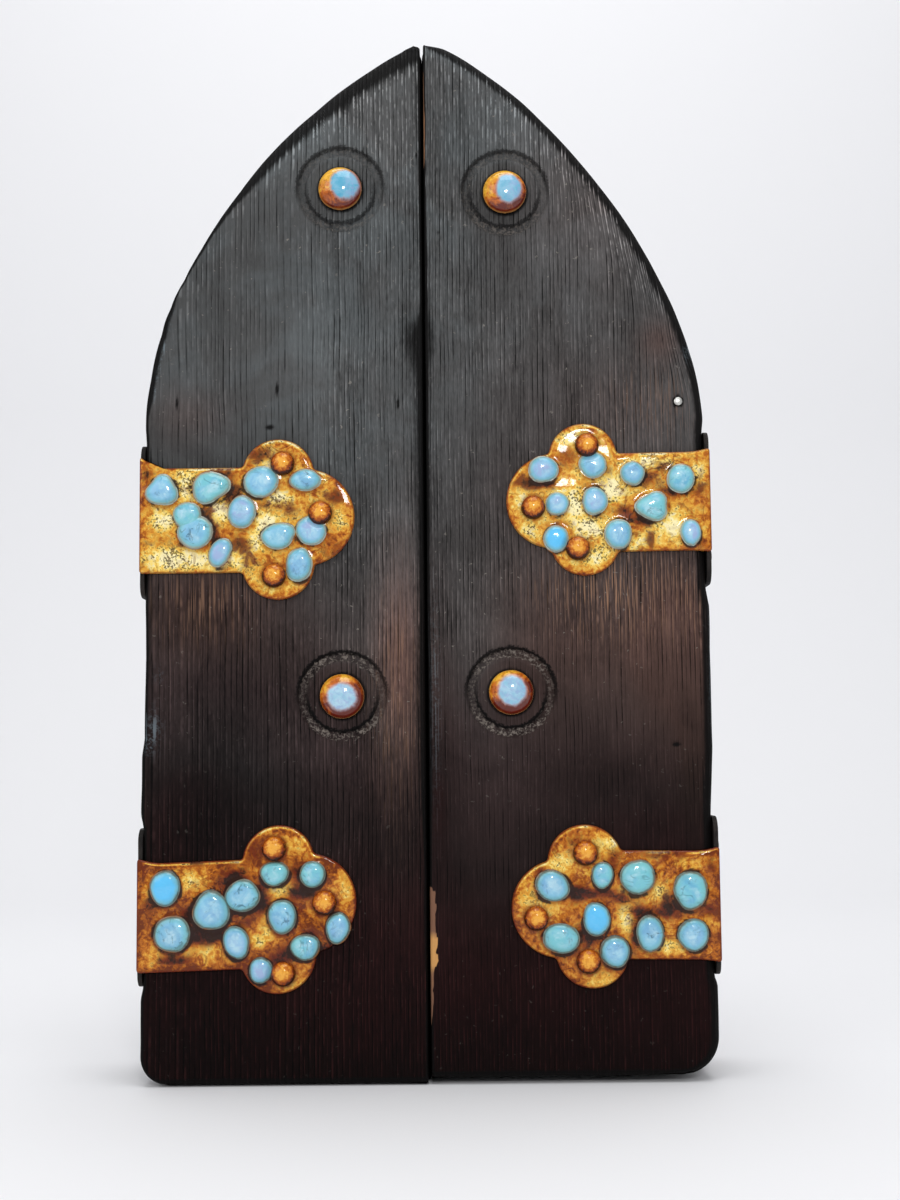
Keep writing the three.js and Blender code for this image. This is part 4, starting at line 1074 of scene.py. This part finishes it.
def makeStrap(name, look):
    # rings grow from the middle of the underside to the outline, then draw in over the top
    back = spanOf("strap_" + name)[1][1]
    front = back - strapMake["thick"]
    flat, centre = strapOutline(look)
    # the plate's rounded edge, then rings drawn in to the middle
    bevel, arc = strapMake["edge"], np.linspace(0, pi / 2, 6)
    insets, sinks = bevel * (1 - np.cos(arc)), bevel * strapMake["edgeSink"] * (1 - np.sin(arc))
    lastEdge = inset(flat, bevel)
    shares = np.linspace(1, 0.03, strapMake["rings"])[1:]
    edges = [inset(flat, distance) for distance in insets]
    tops = np.concatenate([edges, drawnIn(lastEdge, centre, shares)])
    sink = np.concatenate([sinks, np.zeros(len(shares))])[:, None]
    span = np.minimum(np.hypot(*(lastEdge - centre).T), strapMake["fieldReach"])
    toRim = np.concatenate([np.repeat(insets[:, None], len(flat), 1), bevel + (1 - shares)[:, None] * span])
    beads = np.zeros(tops.shape[:2])
    # the beads mark round each drop is centred a little low, so that the painted shadow is wider below the
    # drop
    for drop in look["drops"]:
        away = np.hypot((tops[..., 0] - drop[0]) / drop[2], (tops[..., 1] - drop[1] + 0.5) / drop[3])
        beads = np.maximum(beads, 1 - smoothStep(away, *strapMake["dropHalo"]))
    y = front + sink - waveOf(look, tops) * smoothStep(toRim, 0, 3) - strapMake["swell"] * beads
    unders = drawnIn(flat, centre, (0.03, 0.4, 0.8, 0.97, 1.0))
    place = strapPlace(look, np.concatenate([unders, tops]))
    grown = [np.array(look[key]) * scale for key, scale in strapMake["grown"].items()]
    smudge, pale = (np.clip(spots(tops[..., 0], tops[..., 1], places), 0, 1) for places in grown)
    # a painted highlight along the edges that face up, in places
    upwards = np.clip((flat - inset(flat, 1.0))[:, 1], 0, 1)
    upwards = upwards * smoothStep(softNoise(*flat.T, 7, look["seed"] + 4), 0.3, 0.6)
    pale = pale + 1.1 * upwards * np.exp(-((toRim - 0.7) / 0.5) ** 2)

    def marked(top, under=0.0):
        return np.concatenate([np.full(unders.shape[:2], under), top])

    part = skin(
        ringAt(place, marked(y, back)), age=look["age"],
        rim=marked(1 - smoothStep(toRim, *strapMake["rimHalo"]), 0.5), beads=marked(beads),
        heads=1 - smoothStep(roomAt(name, place), *strapMake["nailHalo"]), smudge=marked(smudge),
        pale=marked(pale))
    makePiece("enamelStrap_" + name, [part], amber, leafOf(look), ["strap_" + name])
    makeDrops(name, look, front)


def glassCap(oval, base, height, tint, age):
    # a skirt that melts into the plate, then a cap whose height is the root of 1 - rho to the fullness.
    # oval gives the points round rings of size rho, height their y.
    inwards = np.cos(np.linspace(0, pi / 2, dropMake["rings"])) ** dropMake["crowding"]
    rho = np.concatenate([dropMake["skirt"], inwards])
    rho[-1] = 0.02
    flat = oval(rho)
    melt = np.where(rho > 1.1, -0.4, np.where(rho > 1, 0.05, 0.2))
    cap = np.sqrt(np.clip(1 - rho ** dropMake["fullness"], 0, 1))
    rings = ringAt(flat, height(flat, cap[:, None], melt[:, None]))
    foot = rings[:1].copy()
    foot[..., 1] = base
    tints = dict(zip(("lilac", "teal", "veins", "vivid"), dropTints[tint]))
    rho = np.concatenate([rho[:1], rho])[:, None]
    return skin(np.concatenate([foot, rings]), rho=rho, age=age, **tints)


def turned(loop, degrees):
    # a loop turned about its middle
    lean = radians(degrees)
    return loop @ np.array([[np.cos(lean), np.sin(lean)], [-np.sin(lean), np.cos(lean)]])


def makeDrops(name, look, front):
    # each drop is an uneven oval, flattened where a nail presses on it
    rng = np.random.default_rng(look["seed"] + 50)
    turn = fullTurn(dropMake["columns"])
    parts = []
    for drop, tint in zip(look["drops"], look["tints"].split()):
        place, up, halfLength, halfHeight, tilt, *cornered = drop
        amount, point = cornered or (rng.uniform(0.005, 0.03), rng.uniform(0, 360))
        wobble = 1 + amount * np.cos(3 * (turn - radians(point)))
        for waves, size in ((2, 0.025), (4, 0.014), (5, 0.01)):
            wobble += size * rng.uniform(0.3, 1) * np.cos(waves * turn + rng.uniform(0, 2 * pi))
        wobble *= dropMake["size"]
        loop = turned(circle(turn, halfLength, halfHeight) * wobble[:, None], tilt)
        rise = dropMake["rise"] * rng.uniform(0.85, 1.15)

        def oval(rho):
            return strapPlace(look, np.array([place, up]) + rho[:, None, None] * loop)

        def height(spot, cap, melt):
            a, b = arch["half"] - look["side"] * spot[..., 0], spot[..., 1] - look["height"]
            dimple = dropMake["dimple"] * softNoise(a, b, 3, look["seed"] + 9) * cap
            lift = (rise * cap - dimple) * smoothStep(roomAt(name, spot), *dropMake["nailRoom"])
            return front - waveOf(look, np.stack([a, b], axis=-1)) - strapMake["swell"] - melt - lift

        parts.append(glassCap(oval, front + dropMake["sink"], height, tint, look["age"]))
    makePiece("turquoiseDrops_" + name, parts, turquoise, leafOf(look), sharpAngle=70)


for strapName, strapShape in strapLook.items():
    makeStrap(strapName, strapShape)
print("straps and drops laid")

# Domed heads: nails, studs, tacks, brad and plaque pins, each turned about its own axis
headMake = {"columns": 48, "rings": 16, "lip": 0.08, "collar": 0.92, "fullness": 0.92, "shankMost": 3.0}
toFront, toInside, outwards = (1, -1), (1, 1), {-1: (0, -1), 1: (0, 1)}
nailLook = {"rise": 3.2, "shank": 1.1}
studMake = {"rise": 5.2, "shank": 1.6, "fine": 2}
tackLook = {"rise": 1.0, "shank": 0.8}
pinLook = {"rise": 1.0, "shank": 0.7}
bradLook = {"rise": 0.5, "shank": 0.6}


def headRings(node, facing, look):
    # facing gives the axis and the way the head looks. The section runs up the shank, out under the head,
    # over the rim and up the dome.
    low, high = spanOf(node)
    axis, sign = facing
    flat = [k for k in (0, 1, 2) if k != axis]
    centre, radius = (low + high) / 2, (high - low)[2] / 2
    rise, lip, shank = look["rise"], headMake["lip"] * look["rise"], look["shank"]
    count, steps = (headMake[key] * look.get("fine", 1) for key in ("columns", "rings"))
    arc = np.linspace(0, pi / 2, steps)[1:]
    length = min((high - low)[axis] - rise, headMake["shankMost"])
    dome = radius * np.cos(arc) ** headMake["fullness"]
    r = np.concatenate([[shank, shank, headMake["collar"] * radius, radius], dome])
    h = np.concatenate([[-length, 0, 0, lip], lip + (rise - lip) * np.sin(arc)])
    r[-1] = 0.02 * radius
    seat = (high[axis] if sign > 0 else low[axis]) - sign * rise
    turn = fullTurn(count)
    rings = np.empty((len(r), len(turn), 3))
    rings[..., axis] = (seat + sign * h)[:, None]
    rings[..., flat[0]] = centre[flat[0]] + r[:, None] * np.cos(turn)
    rings[..., flat[1]] = centre[flat[1]] + r[:, None] * np.sin(turn)
    # under is how far below the middle a point lies, which the copper and stud glazes darken as painted shade
    under = (centre[2] - rings[..., 2]) / radius
    return rings, {"rho": (r / radius)[:, None], "under": under, "age": look.get("age", 0)}


def makeHeads(nodes, facing, look, material, body):
    # a turned head in place of each node
    for node in nodes:
        rings, marks = headRings(node, facing, look)
        makePiece(node + "_head", [skin(rings, **marks)], material, body, [node], sharpAngle=60)


for name, look in strapLook.items():
    facing, leaf = outwards[look["side"]], leafOf(look)
    nails = {**nailLook, "age": look["age"]}
    makeHeads([f"strap_nail_{name}_{i}" for i in (1, 2, 3)], toFront, nails, copper, leaf)
    makeHeads([f"hinge_tack_{name}_door_{i}" for i in (1, 2)], facing, tackLook, iron, leaf)
    makeHeads([f"hinge_tack_{name}_panel_{i}" for i in (1, 2)], facing, tackLook, iron, "centre")
makeHeads(["brad"], toFront, bradLook, steel, "right_leaf")
makeHeads([f"icon_nail_{i}" for i in range(1, 5)], toFront, pinLook, copper, "centre")
for side in ("left", "right"):
    pins = [f"wing_nail_{side}_{i}" for i in range(1, 5)]
    makeHeads(pins, toInside, pinLook, copper, side + "_leaf")

# Studs: an opal spot on an amber dome. spot is its offset and half sizes.
studLook = {
    "upper_left": {"spot": (2.0, 0.6, 5.4, 5.7), "warmth": 0.0, "milky": 0.0},
    "upper_right": {"spot": (1.3, 0.3, 4.7, 5.4), "warmth": 0.2, "milky": 0.3},
    "lower_left": {"spot": (0.1, -0.3, 5.3, 5.0), "warmth": 0.9, "milky": 1.0},
    "lower_right": {"spot": (0.2, 0.6, 5.0, 5.4), "warmth": 0.8, "milky": 0.8},
}


def makeStud(name, look):
    # a turned head whose spot mark is 1 on the border of the opal oval
    rings, marks = headRings("stud_" + name, toFront, studMake)
    offX, offZ, halfX, halfZ = look["spot"]
    x, z = rings[..., 0] - studCentre[name][0], rings[..., 2] - studCentre[name][1]
    marks["spot"] = np.hypot((x - offX) / halfX, (z - offZ) / halfZ)
    marks["across"], marks["milky"] = x / studRadius + look["warmth"], look["milky"]
    leaf = "left_leaf" if name.endswith("left") else "right_leaf"
    part = skin(rings, **marks)
    makePiece("enamelStud_" + name, [part], studGlaze, leaf, ["stud_" + name], sharpAngle=60)


for studName, studShape in studLook.items():
    makeStud(studName, studShape)
print("heads and studs set")

# Leather hinges: strips on the boards' sides, at the line between door and panel
leatherMake = {
    "corner": 5.0, "rows": 46, "columns": 64, "bend": 2.4, "thinned": 0.25, "thinReach": 1.2, "worn": 0.11,
    "wornCell": 6}


def makeLeather(name, look):
    # rows up the strip, each once round its section, shorter at the round corners
    low, high = spanOf("leather_hinge_" + name)
    side, corner = look["side"], leatherMake["corner"]
    hingeY = [joint["pos_m"][1] / mm for joint in frame["joints"] if joint["child"] == leafOf(look)][0]
    z = unevenRows(low[2], high[2], leatherMake["rows"], [(low[2], 5, 3.0), (high[2], 5, 3.0)])
    short = np.minimum(z - low[2], high[2] - z)
    cutBack = corner - np.sqrt(corner ** 2 - np.clip(corner - short, 0, corner) ** 2)
    cutBack = np.minimum(cutBack, corner - 0.3)[:, None]
    # along the section's inner face and home along the outer one
    y0, y1 = low[1] + cutBack, high[1] - cutBack
    spread = y0 + np.linspace(0, 1, leatherMake["columns"]) * (y1 - y0)
    inner, outer = (high[0], low[0]) if side < 0 else (low[0], high[0])
    toEnd, height = np.minimum(spread - y0, y1 - spread), z[:, None] + 0 * spread
    thin = leatherMake["thinned"] * smoothStep(toEnd, leatherMake["thinReach"], 0)
    worn = leatherMake["worn"] * softNoise(spread, height, leatherMake["wornCell"], 70 + look["seed"])
    xIn, xOut = np.full(spread.shape, inner), outer - side * (thin + worn)
    y = np.concatenate([spread, spread[:, ::-1]], axis=1)
    x = np.concatenate([xIn, xOut[:, ::-1]], axis=1)
    part = skin(np.stack([x, y, np.broadcast_to(z[:, None], x.shape)], axis=-1))
    node = "leather_hinge_" + name
    piece = makePiece("leatherStrip_" + name, [part], leather, None, [node], sharpAngle=50)
    leafOf(look)
    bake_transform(piece)


for strapName, strapShape in strapLook.items():
    makeLeather(strapName, strapShape)
print("leather hung")

# Plaques: an enamelled plate with a raised border, and its ornament in copper and turquoise
plaqueMake = {
    "columns": 300, "fieldRings": 46, "rim": 5.0, "rise": 1.2, "thick": 1.2, "corner": 3.0, "seed": 83,
    "age": 0.2, "wave": 0.3, "waveCell": 11, "overlap": 0.05}


def besideLines(flat, lines):
    # how far a point lies outside some thick lines: each is start, end, half width
    gaps = []
    for start, end, half in lines:
        start, way = np.array(start), np.subtract(end, start)
        share = np.clip((flat - start) @ way / max(way @ way, 1e-6), 0, 1)
        gaps.append(np.linalg.norm(flat - start - share[..., None] * way, axis=-1) - half)
    return np.min(gaps, axis=0)


def platePart(outline, centre, back, facing, ornament):
    # rings from the middle of the plate's back round its edge, over the border and in across the field
    flat = even(outline, plaqueMake["columns"])
    rim, thick, rise = plaqueMake["rim"], plaqueMake["thick"], plaqueMake["rise"]
    unders = drawnIn(flat, centre, (0.03, 0.5, 0.97, 1.0))
    arc = np.linspace(0, pi, 11)
    border = [inset(flat, rim / 2 * (1 - np.cos(a))) for a in arc]
    shares = np.linspace(0.985, 0.03, plaqueMake["fieldRings"])
    field = drawnIn(inset(flat, rim), centre, shares)
    calm = np.minimum(1, (1 - shares) * 8)[:, None]
    wave = softNoise(field[..., 0], field[..., 1], plaqueMake["waveCell"], plaqueMake["seed"])
    wave = plaqueMake["wave"] * wave * calm
    rings = np.concatenate([unders, border, field])
    lift = np.concatenate([[0.0] * len(unders), thick + rise * np.sin(arc) ** 0.7])
    lift = np.concatenate([np.repeat(lift[:, None], len(flat), 1), thick + wave])
    mark = 0.6 * np.maximum(0, shares - 0.88) / 0.12
    mark = np.concatenate([[0.6] * len(unders), [0.85] * len(arc), mark])
    # smoke lies round the ornament, on the border and here and there in the field
    border = np.concatenate([np.ones(len(unders) + len(arc)), smoothStep(shares, 0.93, 0.99)])[:, None]
    seed, x, z = plaqueMake["seed"], rings[..., 0], rings[..., 1]
    smudge = 0.5 * smoothStep(besideLines(rings, ornament), 7, 0)
    smudge = (smudge + 0.35 * smoothStep(softNoise(x, z, 17, seed + 1), 0.5, 0.95)) * (1 - 0.5 * border)
    clouded = 0.75 * softNoise(x, z, 23, seed + 2) * (1 - 0.8 * border)
    return skin(
        ringAt(rings, back + facing * lift), age=plaqueMake["age"], rim=mark[:, None], beads=0.0,
        heads=border, smudge=smudge, pale=clouded)


def moulding():
    # a flat foot with a rounded top: place across from 1 to -1 and back, and height
    arc = np.linspace(0, pi, 15)
    across = np.concatenate([np.cos(arc), [-1.0, 1.0]])
    return across, np.concatenate([0.35 + 0.65 * np.sin(arc) ** 0.6, [0.0, 0.0]])


def barPart(start, end, half, lobe, base, rise, facing):
    # a moulding along a line, which swells to a round lobe at each end
    start, end = np.array(start), np.array(end)
    length = np.hypot(*(end - start))
    ahead = (end - start) / length
    aside, quarter = np.array([-ahead[1], ahead[0]]), np.linspace(0, pi / 2, 14)
    s = np.concatenate([
        -lobe * np.cos(quarter), np.linspace(0, length, 90)[1:-1], length + lobe * np.sin(quarter)])
    bulge = np.sqrt(np.maximum(lobe ** 2 - np.minimum(np.abs(s), np.abs(s - length)) ** 2, 0))
    width = np.maximum(np.where((s >= 0) & (s <= length), np.maximum(half, bulge), bulge), 0.05)
    across, lift = moulding()
    place = start + s[:, None, None] * ahead + (width[:, None] * across)[..., None] * aside
    points = ringAt(place, base + facing * rise * lift)
    # rho grows towards the moulding's sides, which the copper darkens as painted shade
    return skin(points, rho=np.abs(across) * 0.95, under=0.0, age=0.0)


def hoopPart(centre, outer, inner, base, rise, facing):
    # the same moulding round a circle
    across, lift = moulding()
    radius = (outer + inner) / 2 + (outer - inner) / 2 * across
    points = ringAt(centre + radius[:, None] * circle(fullTurn(96))[:, None], base + facing * rise * lift)
    # rho grows towards the moulding's sides, which the copper darkens as painted shade
    return skin(points, closed=True, rho=np.abs(across) * 0.95, under=0.0, age=0.0)


def plaqueDrop(place, halfLength, halfHeight, tilt, base, rise, facing, tint):
    # an even oval cap on a flat plate
    loop = turned(circle(fullTurn(dropMake["columns"]), halfLength, halfHeight), tilt)

    def oval(rho):
        return np.array(place) + rho[:, None, None] * loop

    def height(flat, cap, melt):
        return base + facing * (melt + rise * cap) + 0 * flat[..., 0]

    return glassCap(oval, base - facing * dropMake["sink"], height, tint, plaqueMake["age"])


# the icon: a plain cross with round ends and a ring about the crossing
iconLook = {
    "inset": 34.0, "foot": 38.0, "cross": (0.0, 210.0), "up": 62.0, "down": 104.0, "side": 42.0, "half": 6.0,
    "lobe": 9.5, "halo": (30.0, 24.0), "drop": 5.6, "dropRise": 1.2}


def makeIcon():
    look, back, rise = iconLook, spanOf("icon_plaque")[1][1], plaqueMake["rise"]
    outline = insetArch(look["inset"], look["foot"], plaqueMake["corner"])
    field, (x, z) = back - plaqueMake["thick"] + plaqueMake["overlap"], look["cross"]
    ends = [(x, z + look["up"]), (x, z - look["down"]), (x - look["side"], z), (x + look["side"], z)]
    lines = [(ends[1], ends[0], look["half"]), (ends[2], ends[3], look["half"])]
    lines += [((x, z), (x, z), look["halo"][0]), *((end, end, look["lobe"]) for end in ends)]
    plate = platePart(outline, np.array(panelLook["middle"]), back, -1, lines)
    makePiece("iconPlate", [plate], amber, "centre", ["icon_plaque"], sharpAngle=50)
    parts = [
        barPart(ends[1], ends[0], look["half"], look["lobe"], field, rise, -1),
        barPart(ends[2], ends[3], look["half"], look["lobe"], field, rise * 0.94, -1),
        hoopPart(look["cross"], *look["halo"], field, rise * 0.86, -1)]
    makePiece("iconCross", parts, copper, "centre", sharpAngle=60)
    size, top = look["drop"], field - rise + 0.1
    drops = [
        plaqueDrop(place, size, size, 0, top, look["dropRise"], -1, tint)
        for place, tint in zip([*ends, (x, z)], ("blue", "teal", "blue", "lilac", "vivid"))]
    makePiece("iconDrops", drops, turquoise, "centre", sharpAngle=70)


# the wings: a sprig with pairs of leaves and a bud
wingLook = {
    "half": 24.0, "foot": 84.0, "tip": 234.0, "middle": 160.0, "fromSeam": 42.0, "stem": 1.5, "stemEnd": 2.2,
    "stemFoot": 96.0, "bud": 199.4, "tints": ("veined", "teal", "blue", "lilac"), "leaf": (8.8, 4.1),
    "tilt": 40.0, "leafRise": 1.1}


def makeWing(name, side):
    look, leaf, node = wingLook, name + "_leaf", "wing_plaque_" + name
    back = spanOf(node)[0][1]
    middle, field = side * look["fromSeam"], back + plaqueMake["thick"] - plaqueMake["overlap"]
    outline = archOutline(look["half"], look["foot"], look["tip"], plaqueMake["corner"], middle)
    sprig = [((middle, look["stemFoot"]), (middle, look["bud"] + look["leaf"][0]), look["leaf"][1])]
    plate = platePart(outline, np.array([middle, look["middle"]]), back, 1, sprig)
    makePiece("wingPlate_" + name, [plate], amber, leaf, [node], sharpAngle=50)
    foot, bud, rise = look["stemFoot"], look["bud"], plaqueMake["rise"]
    stem = barPart((middle, foot), (middle, bud), look["stem"], look["stemEnd"], field, rise, 1)
    makePiece("wingStem_" + name, [stem], copper, leaf, sharpAngle=60)
    size, lift, base = look["leaf"], look["leafRise"], field + rise * 0.45
    out = size[0] * np.cos(radians(look["tilt"]))
    leaves = [plaqueDrop((middle, bud), *size, 90, base, lift, 1, "vivid")]
    for pair, tint in enumerate(look["tints"]):
        z = foot + (bud - foot) * (pair + 0.5) / len(look["tints"])
        for way in (-1, 1):
            leaves.append(plaqueDrop((middle + way * out, z), *size, way * look["tilt"], base, lift, 1, tint))
    makePiece("wingLeaves_" + name, leaves, turquoise, leaf, sharpAngle=70)


makeIcon()
makeWing("left", -1)
makeWing("right", 1)
print("plaques set")

# Stage, camera and light
cameraLook = {"yaw": 0.177, "pitch": 5.362, "roll": -0.579, "place": (10.43, -638.92, 112.37), "lens": 51.0}


def makeCamera():
    # the viewing direction turned by yaw and pitch, and the picture by roll
    yaw, pitch, roll = (radians(cameraLook[key]) for key in ("yaw", "pitch", "roll"))
    turn = Matrix.Rotation(yaw, 3, "Z") @ Matrix.Rotation(pitch, 3, "X")
    right, ahead, up = (turn.col[k] for k in range(3))
    tiltedRight = right * np.cos(roll) + up * np.sin(roll)
    tiltedUp = up * np.cos(roll) - right * np.sin(roll)
    camera = addObject("camera", bpy.data.cameras.new("camera"))
    camera.data.lens, camera.data.sensor_width = cameraLook["lens"], 36.0
    camera.data.clip_start, camera.data.clip_end = 0.02, 20.0
    pose = Matrix((tiltedRight, tiltedUp, -ahead)).transposed().to_4x4()
    pose.translation = [value * mm for value in cameraLook["place"]]
    camera.matrix_world = pose
    bpy.context.scene.camera = camera


# lamps: place and aim in metres, size, watts
lampLook = {
    "keyLamp": ((0.12, -1.05, 0.5), (0, 0, 0.2), 0.12, 2.3),
    "fillLamp": ((-0.85, -0.9, 0.7), (0, 0, 0.18), 0.7, 2.2),
    "topLamp": ((0.1, -0.45, 1.15), (0, 0, 0.25), 0.6, 3.6),
    "wallLamp": ((0, 0.3, 1.7), (0, 1.2, 0.45), 1.0, 9.0),
}
skyLook = {"Color": colour(247, 248, 250), "Strength": 0.56}


def makeLamps():
    for name, (place, aim, size, watts) in lampLook.items():
        lamp = bpy.data.lights.new(name, "AREA")
        lamp.energy, lamp.size = watts, size
        holder = addObject(name, lamp)
        holder.location = place
        holder.rotation_euler = (Vector(aim) - Vector(place)).to_track_quat("-Z", "Y").to_euler()
    world = bpy.data.worlds.new("studio")
    bpy.context.scene.world = world
    world.use_nodes = True
    tree = world.node_tree
    tree.nodes.clear()
    put(tree, "ShaderNodeOutputWorld", {0: made(tree, "ShaderNodeBackground", skyLook)})


stageLook = {
    "width": 9.0, "front": -5.0, "bend": 0.7, "radius": 0.5, "height": 2.2, "tone": colour(238, 238, 240)}


def makeStage():
    # a floor that curves up into a wall: a straight, a quarter circle and a straight, drawn out sideways
    s = stageLook
    turn = np.linspace(0, pi / 2, 20)
    y = np.concatenate([[s["front"]], s["bend"] + s["radius"] * np.sin(turn), [s["bend"] + s["radius"]]])
    z = np.concatenate([[0], s["radius"] * (1 - np.cos(turn)), [s["height"]]])
    points = [(x, a, b) for x in (-s["width"] / 2, s["width"] / 2) for a, b in zip(y, z)]
    n = len(y)
    faces = [(i, n + i, n + i + 1, i + 1) for i in range(n - 1)]
    mesh = bpy.data.meshes.new("floor")
    mesh.from_pydata(points, [], faces)
    mesh.polygons.foreach_set("use_smooth", np.ones(n - 1, bool))
    mesh.materials.append(newMaterial("palePaper", **{"Roughness": 0.9, "Base Color": s["tone"]})[0])
    floor = addObject("floor", mesh)


makeCamera()
makeLamps()
makeStage()
bpy.context.scene.view_settings.view_transform = "Standard"
print("stage lit")
